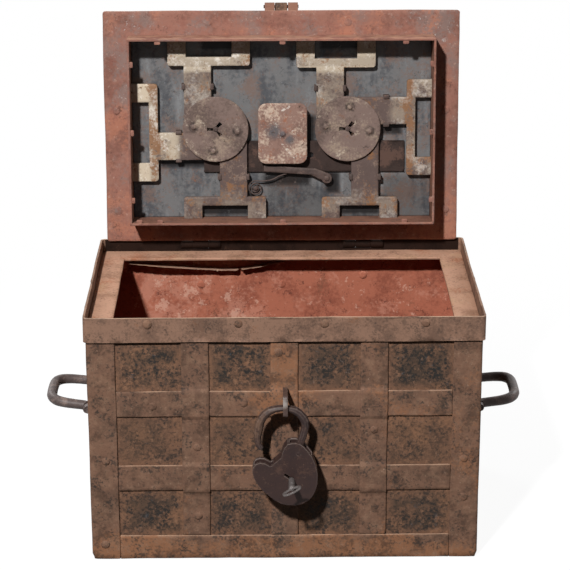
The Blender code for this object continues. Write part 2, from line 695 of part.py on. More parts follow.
def hinge_leaf(bore):
    """Side view: knuckle, leaf down the band's outside and a step in to the strap below."""
    near = BAND_Y + BAND + SEAT - HINGE_Y
    far = near + LEAF
    step = BAND
    bend = BAND_BOTTOM - HINGE_Z
    foot = CROSS_HEIGHTS[1] + STRAP_WIDTH/2 + LEAF_FOOT - HINGE_Z
    start = -math.degrees(math.acos(far/KNUCKLE))
    finish = 360 - math.degrees(math.acos(near/KNUCKLE))
    ring = arc((0, 0), KNUCKLE, start, finish, 18)
    inner = [(near, bend - SEAT), (near - step, bend - SEAT), (near - step, foot)]
    outer = [(far - step, foot), (far - step, bend - step - 0.002), (far, bend - 0.002)]
    return outline([ring + inner + outer, circle((0, 0), bore, 12)], LEAF_WIDTH)


def leaf_place(x):
    """Outline x, y to world y, z about the hinge axis."""
    return Matrix(((0, 0, 1, x), (1, 0, 0, HINGE_Y), (0, 1, 0, HINGE_Z), (0, 0, 0, 1)))


# Lid

def make_lid(lid):
    half = LID_WIDTH/2
    sheet = outline([rounded((-half, 0.0), (half, LID_DEPTH), LID_ROUND, 3), keyhole()], LID_SHEET)
    plate = piece("lid_plate", [(sheet, on_lid(-LID_SHEET, 0.0))], "lid", lid)
    border = [(x, LID_DEPTH - LID_FRONT_RIVETS[2]) for x in LID_FRONT_RIVETS[:2]]
    border += [(side*(half - LID_SIDE_RIVETS[0]), reach) for side in (-1, 1) for reach in LID_SIDE_RIVETS[1:]]
    low_head = dome(*LOW_RIVET, base=-SUNK)
    join(plate, [(low_head, lid_point(x, reach, 0.0)) for x, reach in border], "border_rivets")
    top = -LID_SHEET - SEAT - STRAP
    edge = half - 0.0005 - STRAP_WIDTH/2
    head = dome(*RIVET, base=-SUNK)
    flip = Matrix.Rotation(math.pi, 4, "X")
    for name, x in (("lid_left_strap", -edge), ("lid_right_strap", edge)):
        ends = (LID_STRAP_MARGIN, LID_DEPTH - 0.003)
        shape = outline([rectangle((x - STRAP_WIDTH/2, ends[0]), (x + STRAP_WIDTH/2, ends[1]))], STRAP)
        item = piece(name, [(shape, on_lid(top, top + STRAP))], "strap", lid)
        join(item, [(head, lid_point(x, at, top) @ flip) for at in LID_STRAP_RIVETS], f"{name}_rivets")
    for name, reach in zip(("lid_back_cross_strap", "lid_front_cross_strap"), LID_CROSS_REACH):
        shape = outline([lid_cross_strap(edge)], STRAP_WIDTH)
        columns = Matrix(((1, 0, 0, 0), (0, 1, 0, LID_OUTER), (0, 0, 1, HINGE_SETBACK + reach), (0, 0, 0, 1)))
        piece(name, [(shape, columns)], "strap", lid)


def lid_cross_strap(edge):
    """Front view of a strap dressed over the five straps that run up the lid, from the lid's outer face."""
    climb = STRAP + SEAT
    line = [(-LID_WIDTH/2 + 0.001, climb)]
    for x in (-edge, -VERTICAL_PITCH, 0.0, VERTICAL_PITCH, edge):
        low, high = x - STRAP_WIDTH/2 - SEAT, x + STRAP_WIDTH/2 + SEAT
        line += [(low - JOGGLE_RAMP, 0.0), (low, climb), (high, climb), (high + JOGGLE_RAMP, 0.0)]
    line = [line[0]] + line[3:-2] + [(LID_WIDTH/2 - 0.001, climb)]
    lower = [(x, y + SEAT) for x, y in line]
    return lower + [(x, y + SEAT + STRAP) for x, y in reversed(line)]


def make_hasp(lid):
    low = -LID_SHEET - SEAT - STRAP
    strap = [rectangle((-STRAP_WIDTH/2, 0.012), (STRAP_WIDTH/2, LID_DEPTH - 0.002)), keyhole()]
    item = piece("lid_hasp_strap", [(outline(strap, STRAP), on_lid(low, low + STRAP))], "strap", lid)
    bore = HASP_PIN + SEAT
    foot = LID_OUTER + SEAT + STRAP - SUNK
    root = HINGE_SETBACK + LID_DEPTH - HASP_Z
    base = foot - HASP_RISE
    length, thick = HASP_LUG_FOOT
    lug = [(root - length, base), (root, base), (root + 0.0015, base + 0.004),
           *arc((0, 0), HASP_KNUCKLE, -20, 200, 12), (root - 2*thick, base + thick),
           (root - length, base + thick)]
    shape = outline([lug, circle((0, 0), bore, 12)], HASP_LUG)
    step = (HASP_MIDDLE + HASP_LUG)/2 + 0.0006
    axis = Matrix.Translation((0, HASP_RISE, HASP_Z))
    join(item, [(shape, axis @ across_lid(side*step)) for side in (-1, 1)], "hasp_lugs")
    reach = HASP_MIDDLE/2 + HASP_LUG + 0.002
    pin = round_bar(HASP_PIN, -reach, reach, 12)
    piece("hasp_pin", [(pin, axis @ Matrix.Rotation(math.pi/2, 4, "Y"))], "strap", lid, smooth=True)
    swing = pivot("hasp_axis", (0, HASP_RISE, HASP_Z), LID_LEAN, lid)
    upper, lap = HASP_LAP
    outer, inner = -HASP_CRANK - HASP/2 - lap, -HASP_CRANK + HASP/2 + lap
    outer_bend, inner_bend, foot = HASP_NECK
    crank = [*arc((0, 0), HASP_KNUCKLE, -80, 200, 16), (outer, -outer_bend), (outer, -foot),
             (inner, -foot), (inner, -inner_bend)]
    neck = outline([crank, circle((0, 0), bore, 12)], HASP_MIDDLE)
    columns = Matrix(((0, 0, 1, 0), (1, 0, 0, 0), (0, 1, 0, 0), (0, 0, 0, 1)))
    item = piece("hasp", [(neck, columns)], "strap", swing)
    half = HASP_WIDTH/2
    plate = [(-half, -upper), *arc((0, half - HASP_LENGTH), half, 180, 360, 12), (half, -upper)]
    width, length = HASP_SLOT
    top = -HASP_SLOT_FROM - width/2
    hole = slot((0, top - length + width), (0, top), width/2, 6)
    blade = outline([plate, hole], HASP)
    place = Matrix.Translation((0, -HASP_CRANK, 0)) @ Matrix.Rotation(math.pi/2, 4, "X")
    join(item, [(blade, place)], "hasp_blade")


# Lock frame, plate and tabs

def bolt_table():
    """Rotor side, quarter turns from up the lid, fork edges and cross bar, from the rotor's centre."""
    forks = {
        "front_left_bolt": (-1, 0, FRONT_LEFT_FORK),
        "left_bolt": (-1, 1, LEFT_FORK),
        "back_left_bolt": (-1, 2, BACK_LEFT_FORK),
        "front_right_bolt": (1, 0, FRONT_RIGHT_FORK),
        "right_bolt": (1, 3, RIGHT_FORK),
        "back_right_bolt": (1, 2, BACK_RIGHT_FORK),
    }
    return {name: (side, turns, fork[:2], fork[2]) for name, (side, turns, fork) in forks.items()}


def quarter(turns):
    return Matrix.Rotation(turns*math.pi/2, 4, "Z")


def bolt_end(turns):
    """Distance from the rotor's centre to the frame's outer face, along the bolt."""
    return {0: FRAME_FRONT - ROTOR_REACH, 2: ROTOR_REACH - FRAME_BACK}.get(turns, FRAME_WIDTH/2 - ROTOR_X)


def make_frame(lid):
    half = FRAME_WIDTH/2
    wall = FRAME_WALL
    inner = rectangle((-half + wall, FRAME_BACK + wall), (half - wall, FRAME_FRONT - wall))
    ring = outline([rectangle((-half, FRAME_BACK), (half, FRAME_FRONT)), inner], FRAME_RISE - SEAT)
    item = piece("lock_frame", [(ring, on_lid(SEAT, FRAME_RISE))], "lid", lid)
    windows = []
    spare = 0.0007
    for side, turns, fork, _ in bolt_table().values():
        end = bolt_end(turns)
        for low in (fork[0], fork[1] - BOLT_HEAD):
            hole = rectangle((low - spare, end - 2*wall), (low + BOLT_HEAD + spare, end + wall))
            place = on_lid(BOLT_RISE - spare, BOLT_RISE + BOLT + spare)
            place = place @ Matrix.Translation((side*ROTOR_X, ROTOR_REACH, 0)) @ quarter(turns)
            windows.append((outline([hole], BOLT + 2*spare), place))
    cut(item, windows, "bolt_windows")
    reach = half - wall
    back, front = FRAME_BACK + wall, FRAME_FRONT - wall
    width, depth, thick = TAB
    root = depth/2 - SUNK
    left, right = TAB_INSETS[0] - reach, reach - TAB_INSETS[1]
    places = [(x, front - root, 0) for x in (left, KEY_X, right)]
    places += [(x, back + root, 0) for x in (TAB_INSETS[2] - reach, left, KEY_X, right)]
    middle = (back + front)/2
    for side in (-1, 1):
        rows = (back + TAB_INSETS[3], middle, front - TAB_INSETS[3])
        places += [(side*(reach - root), at, 1) for at in rows]
    solids = []
    rise = FRAME_RISE - TAB_DROP
    for x, at, turns in places:
        tab = outline([rounded((-width/2, -depth/2), (width/2, depth/2), 0.0015, 2)], thick)
        solids.append((tab, on_lid(rise - thick, rise) @ Matrix.Translation((x, at, 0)) @ quarter(turns)))
    join(item, solids, "cover_tabs")


def make_lock_plate(lid, fixtures):
    """The plate behind the works, with the lugs, posts and pillars that are riveted into it."""
    reach = FRAME_WIDTH/2 - FRAME_WALL - SEAT
    back, front = FRAME_BACK + FRAME_WALL + SEAT, FRAME_FRONT - FRAME_WALL - SEAT
    sheet = outline([rectangle((-reach, back), (reach, front)), keyhole()], LOCK_PLATE)
    item = piece("lock_plate", [(sheet, on_lid(SEAT, PLATE_RISE))], "lock", lid)
    join(item, fixtures, "plate_fixtures")


# Bolt works

def make_bolts(lid):
    """Six forked bolts: a stem under the rotor, a cross bar and two heads in the frame's windows."""
    guides = []
    for name, (side, turns, fork, bar) in bolt_table().items():
        tip = bolt_end(turns) - BOLT_SETBACK
        root = PIN_REST[1] - SLOT - 0.003
        shoulder = bar + BOLT_BAR
        left, right = fork
        shape = [(STEM[0], root), (STEM[1], root), (STEM[1], bar), (right, bar), (right, tip),
                 (right - BOLT_HEAD, tip), (right - BOLT_HEAD, shoulder), (left + BOLT_HEAD, shoulder),
                 (left + BOLT_HEAD, tip), (left, tip), (left, bar), (STEM[0], bar)]
        hole = slot((PIN_REST[0], PIN_REST[1]), (PIN_THROWN, PIN_REST[1]), SLOT)
        centre = Matrix.Translation((side*ROTOR_X, ROTOR_REACH, 0)) @ quarter(turns)
        place = on_lid(BOLT_RISE, BOLT_RISE + BOLT) @ centre
        origin = (side*ROTOR_X, LID_INNER - BOLT_RISE, HINGE_SETBACK + ROTOR_REACH)
        piece(name, [(outline([shape, hole], BOLT), place)], "bolt", lid, origin)
        guides += bolt_guides(centre, bar - GUIDE_SETBACK)
    return guides


def bolt_guides(centre, along):
    """Two lugs beside a stem, each with a lip over its edge."""
    thick, length, lip = GUIDE
    foot, top = PLATE_RISE - SUNK, BOLT_RISE + BOLT + SEAT
    head = top + 0.002
    clear = 0.0005
    shape = outline([[(0, foot), (thick, foot), (thick, head), (-lip, head), (-lip, top), (0, top)]], length)
    solids = []
    for edge, way in ((STEM[0] - clear, -1), (STEM[1] + clear, 1)):
        columns = Matrix(((way, 0, 0, edge), (0, 0, -way, along), (0, 1, 0, 0), (0, 0, 0, 1)))
        solids.append((shape, on_lid(0.0, 0.0) @ centre @ columns))
    return solids


def star_hole():
    """The rotor's bore with three open arms round the post."""
    width, length = STAR_ARM
    bore = POST + SEAT
    side = math.degrees(math.asin(width/2/bore))
    points = []
    for middle in (50, 180, 310):
        points += arc((0, 0), bore, middle - 120 + side, middle - side, 4)
        for step, across in ((length, -width/2), (length, width/2)):
            turn = math.radians(middle)
            c, s = math.cos(turn), math.sin(turn)
            points.append((step*c - across*s, step*s + across*c))
    return points


def make_rotors(lid):
    """Two discs, each with riveted pins that reach down into the stems' slots."""
    posts = []
    bar_turn = 1
    for name, side, quarters in (("left_rotor", -1, (0, 1, 2)), ("right_rotor", 1, (0, 1, 2, 3))):
        origin = (side*ROTOR_X, LID_INNER, HINGE_SETBACK + ROTOR_REACH)
        disc = outline([circle((0, 0), ROTOR_RADIUS, 48), star_hole()], ROTOR)
        centre = Matrix.Translation((side*ROTOR_X, ROTOR_REACH, 0))
        item = piece(name, [(disc, on_lid(ROTOR_RISE, ROTOR_TOP) @ centre)], "rotor", lid, origin)
        pins = []
        for turns in quarters:
            spot = quarter(turns) @ Vector((*PIN_REST, 0))
            foot = BAR_RISE + SEAT if turns == bar_turn else BOLT_RISE + SEAT
            shank = round_bar(PIN, foot, ROTOR_TOP - ROTOR/2, 12)
            if side < 0 or turns != bar_turn:
                shank = stack(round_bar(PIN, foot, ROTOR_TOP + SUNK, 12), dome(*PIN_HEAD, base=ROTOR_TOP))
            pins.append((shank, on_lid(0.0, 0.0) @ centre @ Matrix.Translation(spot)))
        join(item, pins, f"{name}_pins")
        collar = round_bar(POST_COLLAR, PLATE_RISE - SUNK, ROTOR_RISE - SEAT, 12)
        neck = round_bar(POST, ROTOR_RISE - SEAT, ROTOR_TOP - 0.0005, 12)
        posts.append((stack(collar, neck), on_lid(0.0, 0.0) @ centre))
    return posts


def stack(lower, upper):
    """Two round solids on one axis, made one by a Boolean union with a small overlap."""
    base = gather("stack_base", [(lower, IDENTITY)], CUTTERS)
    sunk = gather("stack_top", [(upper, Matrix.Translation((0, 0, -0.0002)))], CUTTERS)
    change = base.modifiers.new("join", "BOOLEAN")
    change.operation = "UNION"
    change.object = sunk
    bpy.context.view_layer.update()
    shape = base.evaluated_get(bpy.context.evaluated_depsgraph_get())
    mesh = bpy.data.meshes.new_from_object(shape)
    for item in (base, sunk):
        bpy.data.objects.remove(item, do_unlink=True)
    return mesh


def make_drive_bar(lid):
    """The bar that the key pushes: it turns both rotors and lifts the catch."""
    left, right = BAR_X
    low, high = BAR_REACH
    wide, deep = TALON
    edge = [(left, low), (right, low), (right, high), (KEY_X + wide/2, high), (KEY_X + wide/2, high - deep),
            (KEY_X - wide/2, high - deep), (KEY_X - wide/2, high), (left, high)]
    holes = []
    for side in (-1, 1):
        x = side*ROTOR_X - PIN_REST[1]
        holes.append(slot((x, ROTOR_REACH + PIN_REST[0]), (x, ROTOR_REACH + PIN_THROWN), SLOT))
        pillar = KEY_X + side*PILLAR_STEP[0]
        at = KEY_REACH - PILLAR_STEP[1]
        holes.append(slot((pillar, at), (pillar + THROW, at), PILLAR + RUNNING))
    holes.append(slot(CATCH, (CATCH[0] + THROW, CATCH[1] + CATCH_LIFT), CATCH_PIN + RUNNING))
    bar = outline([edge, *holes], BAR)
    origin = (KEY_X, LID_INNER - BAR_RISE, HINGE_SETBACK + low)
    piece("drive_bar", [(bar, on_lid(BAR_RISE, BAR_RISE + BAR))], "rotor", lid, origin)


def make_key_cover(lid):
    wide, tall = COVER_SIZE
    middle = Matrix.Translation((KEY_X, KEY_REACH, 0))
    shape = [rounded((-wide/2, -tall/2), (wide/2, tall/2), COVER_CORNER, 4)]
    place = on_lid(COVER_RISE, COVER_RISE + COVER) @ middle
    cover = piece("key_cover", [(outline(shape, COVER), place)], "rotor", lid)
    pillars = []
    for sx in (-1, 1):
        for sy in (-1, 1):
            spot = Matrix.Translation((sx*PILLAR_STEP[0], sy*PILLAR_STEP[1], 0))
            post = round_bar(PILLAR, PLATE_RISE - SUNK, COVER_RISE - SEAT, 12)
            pillars.append((post, on_lid(0.0, 0.0) @ middle @ spot))
    shank = round_bar(KEY_POST, 0.001 - LID_SHEET, COVER_RISE + COVER + SUNK, 12)
    post = stack(shank, dome(*PIN_HEAD, base=COVER_RISE + COVER))
    join(cover, [(post, on_lid(0.0, 0.0) @ middle)], "key_post")
    return pillars


def lever_underside(x):
    """Height of the lever's lower edge along its straight arm."""
    tip_x, tip_top = LEVER_TIP
    return tip_top - LEVER_DEPTH - (x - tip_x)*0.073


def make_lever(lid):
    """A catch lever on its pin, with a catch pin in the bar's slanted slot."""
    tip_x, tip_top = LEVER_TIP
    bend = LEVER_PIVOT[0] - 0.0245
    shape = [(tip_x, tip_top - LEVER_DEPTH), (bend, lever_underside(bend)),
             *arc(LEVER_PIVOT, LEVER_EYE, 200, 440, 14), (bend + 0.007, lever_underside(bend) + LEVER_DEPTH),
             (tip_x, tip_top)]
    hole = circle(LEVER_PIVOT, LEVER_PIN + SEAT, 12)
    arm = outline([shape, hole], LEVER)
    rise = BOLT_RISE + SEAT
    origin = (LEVER_PIVOT[0], LID_INNER - rise, HINGE_SETBACK + LEVER_PIVOT[1])
    item = piece("catch_lever", [(arm, on_lid(rise, rise + LEVER))], "rotor", lid, origin)
    catch = round_bar(CATCH_PIN, BAR_RISE + SEAT, rise + LEVER/2, 12)
    join(item, [(catch, on_lid(0.0, 0.0) @ Matrix.Translation((*CATCH, 0)))], "catch_pin")
    pins = []
    for spot, radius, top in ((LEVER_PIVOT, LEVER_PIN, rise + LEVER), (COIL_CENTRE, COIL_RADII[0] - 0.0017,
                                                                        SPRING_RISE + 0.002)):
        shank = round_bar(radius, PLATE_RISE - SUNK, top + SEAT + SUNK, 12)
        head = dome(radius + 0.0018, 0.002, base=top + SEAT)
        pins.append((stack(shank, head), on_lid(0.0, 0.0) @ Matrix.Translation((*spot, 0))))
    return pins


def spring_line():
    """Flat spiral out from the pin, then a wavy arm up to the lever."""
    count = round(COIL_TURNS*COIL_POINTS)
    start, end = COIL_RADII
    points = []
    last = math.radians(75)
    for step in range(count + 1):
        turn = last + 2*math.pi*COIL_TURNS*(1 - step/count)
        radius = start + (end - start)*step/count
        points.append((COIL_CENTRE[0] + radius*math.cos(turn), COIL_CENTRE[1] + radius*math.sin(turn)))
    toe = (SPRING_TOE, lever_underside(SPRING_TOE) - SEAT - COIL_WIRE)
    leave = points[-1]
    for share, wave in ((0.25, -0.0028), (0.5, -0.0035), (0.75, -0.0008), (1.0, 0.0)):
        points.append((leave[0] + (toe[0] - leave[0])*share, leave[1] + (toe[1] - leave[1])*share + wave))
    return points


def make_spring(lid):
    line = spring_line()
    spiral = line[:round(COIL_TURNS*COIL_POINTS) + 1]
    apart = min(math.dist(a, b) for i, a in enumerate(line) for j, b in enumerate(line)
                if abs(i - j) > COIL_POINTS//2 and (i < len(spiral) or j < len(spiral)))
    print("lever spring: least gap to itself", round((apart - 2*COIL_WIRE)*1000, 2), "mm")
    wire = tube([(x, reach, 0) for x, reach in line], COIL_WIRE, resolution=1)
    piece("lever_spring", [(wire, on_lid(SPRING_RISE, SPRING_RISE))], "rotor", lid, smooth=True)


# Staple and padlock

def make_staple():
    """A flat strip bent to a square loop with round corners, standing out of the middle strap."""
    wide, thick = STAPLE
    low, high = STAPLE_HEIGHTS
    seat = HALF_D + STRAP + 2*SEAT
    loops = []
    for inset, bend in ((0.0, STAPLE_BEND), (thick, STAPLE_BEND - thick + 0.001)):
        nose, foot, top = STAPLE_OUT - inset, low + inset, high - inset
        lower = arc((nose - bend, foot + bend), bend, 270, 360, 4)
        upper = arc((nose - bend, top - bend), bend, 0, 90, 4)
        loops.append([(seat, foot), *lower, *upper, (seat, top)])
    shape = outline([loops[0] + loops[1][::-1]], wide)
    piece("staple", [(shape, across_face("front", STAPLE_X))], "padlock")


def bow_height():
    """Height of the bow's middle, with its rod hanging in the staple."""
    return STAPLE_HEIGHTS[0] + STAPLE[1] + SHACKLE_HANG + SHACKLE_WIRE - SHACKLE_RADIUS


def padlock_pivot():
    """Foot of the right leg, where the body swings."""
    return (PADLOCK_X + SHACKLE_PIN[0], -PADLOCK_OUT, bow_height() + SHACKLE_PIN[1])


def make_padlock():
    middle = (PADLOCK_X, -PADLOCK_OUT, bow_height())
    hang = pivot("shackle_axis", middle)
    foot = padlock_pivot()
    bow = arc((0, 0), SHACKLE_RADIUS, 172, 8, 13)
    round_bow = [(x, z, 1 + SHACKLE_SWELL*(x/SHACKLE_RADIUS)**2) for x, z in bow]
    path = [*SHACKLE_TOE, *round_bow, *SHACKLE_HEEL]
    rod = tube([(x, 0.0, z) for x, z, width in path], SHACKLE_WIRE, [width for x, z, width in path])
    shackle = piece("padlock_shackle", [(rod, IDENTITY)], "padlock", hang, smooth=True)
    swing = pivot("padlock_axis", foot)
    swing.rotation_euler = (0, -PADLOCK_TURN, 0)
    pin_hole = round_bar(PADLOCK_PIN + SEAT, -CUTTER, CUTTER, 12)
    along_y = Matrix.Rotation(math.pi/2, 4, "X")
    at_foot = Matrix.Translation((foot[0] - middle[0], 0, foot[2] - middle[2]))
    cut(shackle, [(pin_hole, at_foot @ along_y)], "shackle_pin_hole")
    body = piece("padlock_body", [(outline([PADLOCK_OUTLINE], PADLOCK_DEPTH), along_y)], "padlock", swing)
    half = POCKET/2
    pocket = round_bar(POCKET_RADIUS, -half, half, 24)
    left, right, floor = TOE_POCKET
    left_pocket = block((left, -half, floor), (right, half, CUTTER))
    bore = round_bar(KEY_STEM + SEAT, 0.0, CUTTER, 12)
    ward = block((-KEY_SLOT[0]/2, -CUTTER, 0.0), (KEY_SLOT[0]/2, 0.0, KEY_SLOT[1]))
    slot_lean = Matrix.Rotation(-KEY_SLOT_LEAN, 4, "Y")
    key_at = Matrix.Translation((KEY_PLACE[0], 0, KEY_PLACE[1]))
    cut(body, [(pocket, along_y)], "shackle_pocket")
    cut(body, [(left_pocket, IDENTITY)], "bolt_pocket")
    cut(body, [(bore, key_at @ along_y)], "key_bore")
    cut(body, [(ward, key_at @ slot_lean)], "key_slot")
    rivet = round_bar(PADLOCK_PIN, -PADLOCK_DEPTH/2, PADLOCK_DEPTH/2, 12)
    cut(body, [(pin_hole, along_y)], "body_pin_hole")
    piece("padlock_rivet", [(rivet, along_y)], "padlock", swing, smooth=True)
    make_key(swing, key_at)


def make_key(swing, key_at):
    """A small key: stem in the bore and a flat oval bow outside."""
    face = PADLOCK_DEPTH/2
    stem = round_bar(KEY_STEM, 0.004, face + KEY_LENGTH - 2*KEY_BOW[1] + 0.002, 12)
    along_y = Matrix.Rotation(math.pi/2, 4, "X")
    turn = pivot("key_axis", key_at.to_translation(), 0.0, swing)
    item = piece("padlock_key", [(stem, along_y)], "padlock", turn, smooth=True)
    wide, deep = KEY_BOW
    ring = [[(wide*math.cos(t), deep*math.sin(t)) for t in (2*math.pi*step/20 for step in range(20))],
            [((wide - BOW_RIM[0])*math.cos(t), (deep - BOW_RIM[1])*math.sin(t))
             for t in (2*math.pi*step/16 for step in range(16))]]
    bow = outline(ring, BOW)
    lean = Matrix.Rotation(PADLOCK_TURN - KEY_BOW_LEAN, 4, "Y")
    place = lean @ Matrix.Translation((0, -face - KEY_LENGTH + deep, 0))
    join(item, [(bow, place)], "key_bow")


# Handles

def make_handles():
    for name, side in (("left", -1), ("right", 1)):
        axis_x = side*(HALF_W + HANDLE_OFF)
        swing = pivot(f"{name}_handle_axis", (axis_x, 0, HANDLE_HEIGHT))
        swing.rotation_euler = (0, -side*HANDLE_TILT, 0)
        wall, end = HANDLE_SPAN
        bend = 0.005
        corner = 0.016
        half = [(0.0, EYE_Y + EYE[1]/2 - 0.001), (0.0, EYE_Y - EYE[1]/2 - 0.001)]
        half += arc((bend, wall + bend), bend, 180, 270, 4)
        half += [(HANDLE_REACH - x, y) for x, y in arc((corner, end - corner), corner, 90, 180, 5)]
        widths = [HANDLE_NECK/HANDLE_ROD]*2 + [1.0]*(len(half) - 2)
        path = half + [(x, -y) for x, y in reversed(half)]
        rod = tube([(side*x, y, 0.0) for x, y in path], HANDLE_ROD, widths + widths[::-1])
        piece(f"{name}_handle", [(rod, IDENTITY)], "handle", swing, smooth=True)
        nose, length, height = EYE
        foot = -HANDLE_OFF + SEAT
        flare = [(foot, -height/2), (foot + 0.004, -height/2), (foot + 0.005, -nose + 0.001)]
        shape = flare + arc((0, 0), nose, -60, 60, 8) + [(x, -z) for x, z in reversed(flare)]
        lug = outline([shape, circle((0, 0), HANDLE_NECK + SEAT, 12)], length)
        for where, way in (("front", -1), ("back", 1)):
            place = Matrix.Translation((axis_x, way*EYE_Y, HANDLE_HEIGHT))
            columns = Matrix(((side, 0, 0, 0), (0, 0, -side, 0), (0, 1, 0, 0), (0, 0, 0, 1)))
            piece(f"{name}_{where}_handle_eye", [(lug, place @ columns)], "handle")


def main():
    lid = pivot("lid_axis", (0, HINGE_Y, HINGE_Z), -LID_LEAN)
    make_box()
    make_front_straps()
    make_lattices()
    make_corners()
    make_rim()
    make_torn_lining()
    make_lid(lid)
    make_hinges(lid)
    make_hasp(lid)
    make_frame(lid)
    fixtures = make_bolts(lid) + make_rotors(lid) + make_key_cover(lid) + make_lever(lid)
    make_lock_plate(lid, fixtures)
    make_drive_bar(lid)
    make_spring(lid)
    make_staple()
    make_padlock()
    make_handles()


main()
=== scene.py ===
# %% [markdown]
# # An armada chest with its lid open
#
# A chest of this kind is a box of sheet iron, held by a lattice of riveted straps. Its lid carries
# a big lock whose six bolts catch under the rim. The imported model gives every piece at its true
# size and place. This lesson gives the pieces their forged edges, dents, rust and worn paint.

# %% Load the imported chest
import json
import math
from collections import namedtuple

import bmesh
import bpy
from mathutils import Matrix, Vector, noise

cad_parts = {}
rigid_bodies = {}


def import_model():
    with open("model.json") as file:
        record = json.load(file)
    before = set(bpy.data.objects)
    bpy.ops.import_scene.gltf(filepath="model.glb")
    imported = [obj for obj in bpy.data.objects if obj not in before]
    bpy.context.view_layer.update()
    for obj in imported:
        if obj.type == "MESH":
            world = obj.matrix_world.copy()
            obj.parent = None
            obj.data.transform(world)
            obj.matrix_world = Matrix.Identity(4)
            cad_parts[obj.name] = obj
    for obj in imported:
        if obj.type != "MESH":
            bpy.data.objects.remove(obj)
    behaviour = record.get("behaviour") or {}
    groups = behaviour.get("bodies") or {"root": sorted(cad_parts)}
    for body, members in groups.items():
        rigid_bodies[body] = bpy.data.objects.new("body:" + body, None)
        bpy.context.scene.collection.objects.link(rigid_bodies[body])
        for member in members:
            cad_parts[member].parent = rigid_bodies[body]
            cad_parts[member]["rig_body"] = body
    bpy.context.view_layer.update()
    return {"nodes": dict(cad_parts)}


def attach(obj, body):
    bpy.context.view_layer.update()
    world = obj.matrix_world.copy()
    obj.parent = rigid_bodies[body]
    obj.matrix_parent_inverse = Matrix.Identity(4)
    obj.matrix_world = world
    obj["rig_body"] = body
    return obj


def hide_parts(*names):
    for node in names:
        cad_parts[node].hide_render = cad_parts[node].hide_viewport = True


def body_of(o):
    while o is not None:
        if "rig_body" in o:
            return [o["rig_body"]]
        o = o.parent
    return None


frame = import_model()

nodes = frame["nodes"]
scene = bpy.context.scene
scene.view_settings.view_transform = "Standard"

# %% [markdown]
# ## Camera
#
# The picture was taken from a little above and a long way off, so upright edges stay almost
# parallel. A long lens gives that look. The place and the three turns were worked out once from
# the corners of the lid and of the box, so the camera is simply set there.

# %% Set the camera
def stand(name, data):
    """A new object in the scene, at the origin."""
    thing = bpy.data.objects.new(name, data)
    scene.collection.objects.link(thing)
    return thing


CAMERA_PLACE = Vector((-0.0285, -3.0377, 1.3719))
PITCH, YAW, ROLL = 0.32235, -0.01033, -0.00172     # radians
LENS, SENSOR = 136.16, 36.0                        # millimetres
CHEST_MIDDLE = Vector((0.0, 0.0, 0.35))
forward = Vector((-math.sin(YAW)*math.cos(PITCH), math.cos(YAW)*math.cos(PITCH), -math.sin(PITCH)))
level = Vector((math.cos(YAW), math.sin(YAW), 0.0))
upward = level.cross(forward)
right = level*math.cos(ROLL) + upward*math.sin(ROLL)
above = upward*math.cos(ROLL) - level*math.sin(ROLL)
camera = stand("camera", bpy.data.cameras.new("camera"))
camera.data.lens = LENS
camera.data.sensor_width = SENSOR
camera.data.clip_end = 60.0
turned = Matrix((right, above, -forward)).transposed().to_4x4()
camera.matrix_world = Matrix.Translation(CAMERA_PLACE) @ turned
scene.camera = camera
print("camera", round((CAMERA_PLACE - CHEST_MIDDLE).length, 2), "m away")

# %% [markdown]
# ## Light and floor
#
# The shadows inside the lid fall to the right and downwards and have firm edges, so the main lamp
# is small, high and to the left. Two wide lamps behind the chest and one at its right keep those
# sides readable. The floor and the world are white where the camera or a reflection sees them, and
# dim elsewhere, so that the shadows stay deep.

# %% One function that adds a shader or geometry node
def add(tree, kind, settings=None, links=None):
    """Add one node, set its fields and sockets, and join its inputs to other nodes."""
    node = tree.nodes.new(kind)
    for name, value in (settings or {}).items():
        if isinstance(name, str) and hasattr(node, name):
            setattr(node, name, value)
        else:
            node.inputs[name].default_value = value
    for name, source in (links or {}).items():
        tree.links.new(source, node.inputs[name])
    return node


def linear(code):
    """An sRGB hex colour as the linear colour that shaders work in."""
    parts = [int(code[at:at + 2], 16)/255 for at in (1, 3, 5)]
    return [p/12.92 if p <= 0.04045 else ((p + 0.055)/1.055)**2.4 for p in parts] + [1.0]


# %% Lamps
def lamp(name, azimuth, elevation, away, size, power):
    """A round lamp that looks at the chest. Azimuth 0 is the front, and turns to the right."""
    a, e = math.radians(azimuth), math.radians(elevation)
    back = Vector((math.sin(a)*math.cos(e), -math.cos(a)*math.cos(e), math.sin(e)))
    light = stand(name, bpy.data.lights.new(name, "AREA"))
    light.data.shape = "DISK"
    light.data.size = size
    light.data.energy = power
    light.location = CHEST_MIDDLE + back*away
    light.rotation_euler = back.to_track_quat("Z", "Y").to_euler()


lamp("key_lamp", azimuth=-20, elevation=40.5, away=5.0, size=0.30, power=303)
lamp("back_left_lamp", azimuth=-140, elevation=32, away=4.0, size=1.6, power=60)
lamp("back_right_lamp", azimuth=140, elevation=32, away=4.0, size=1.6, power=60)
lamp("right_lamp", azimuth=93, elevation=25, away=4.0, size=1.6, power=25)

# %% World
FILL = 0.014


def seen_rays(tree):
    """1 for the rays that show the studio itself: to the camera, in gloss and through glass."""
    rays = add(tree, "ShaderNodeLightPath").outputs
    seen = add(tree, "ShaderNodeMath", {"operation": "MAXIMUM"},
               {0: rays["Is Camera Ray"], 1: rays["Is Glossy Ray"]})
    return add(tree, "ShaderNodeMath", {"operation": "MAXIMUM"},
               {0: seen.outputs[0], 1: rays["Is Transmission Ray"]}).outputs[0]


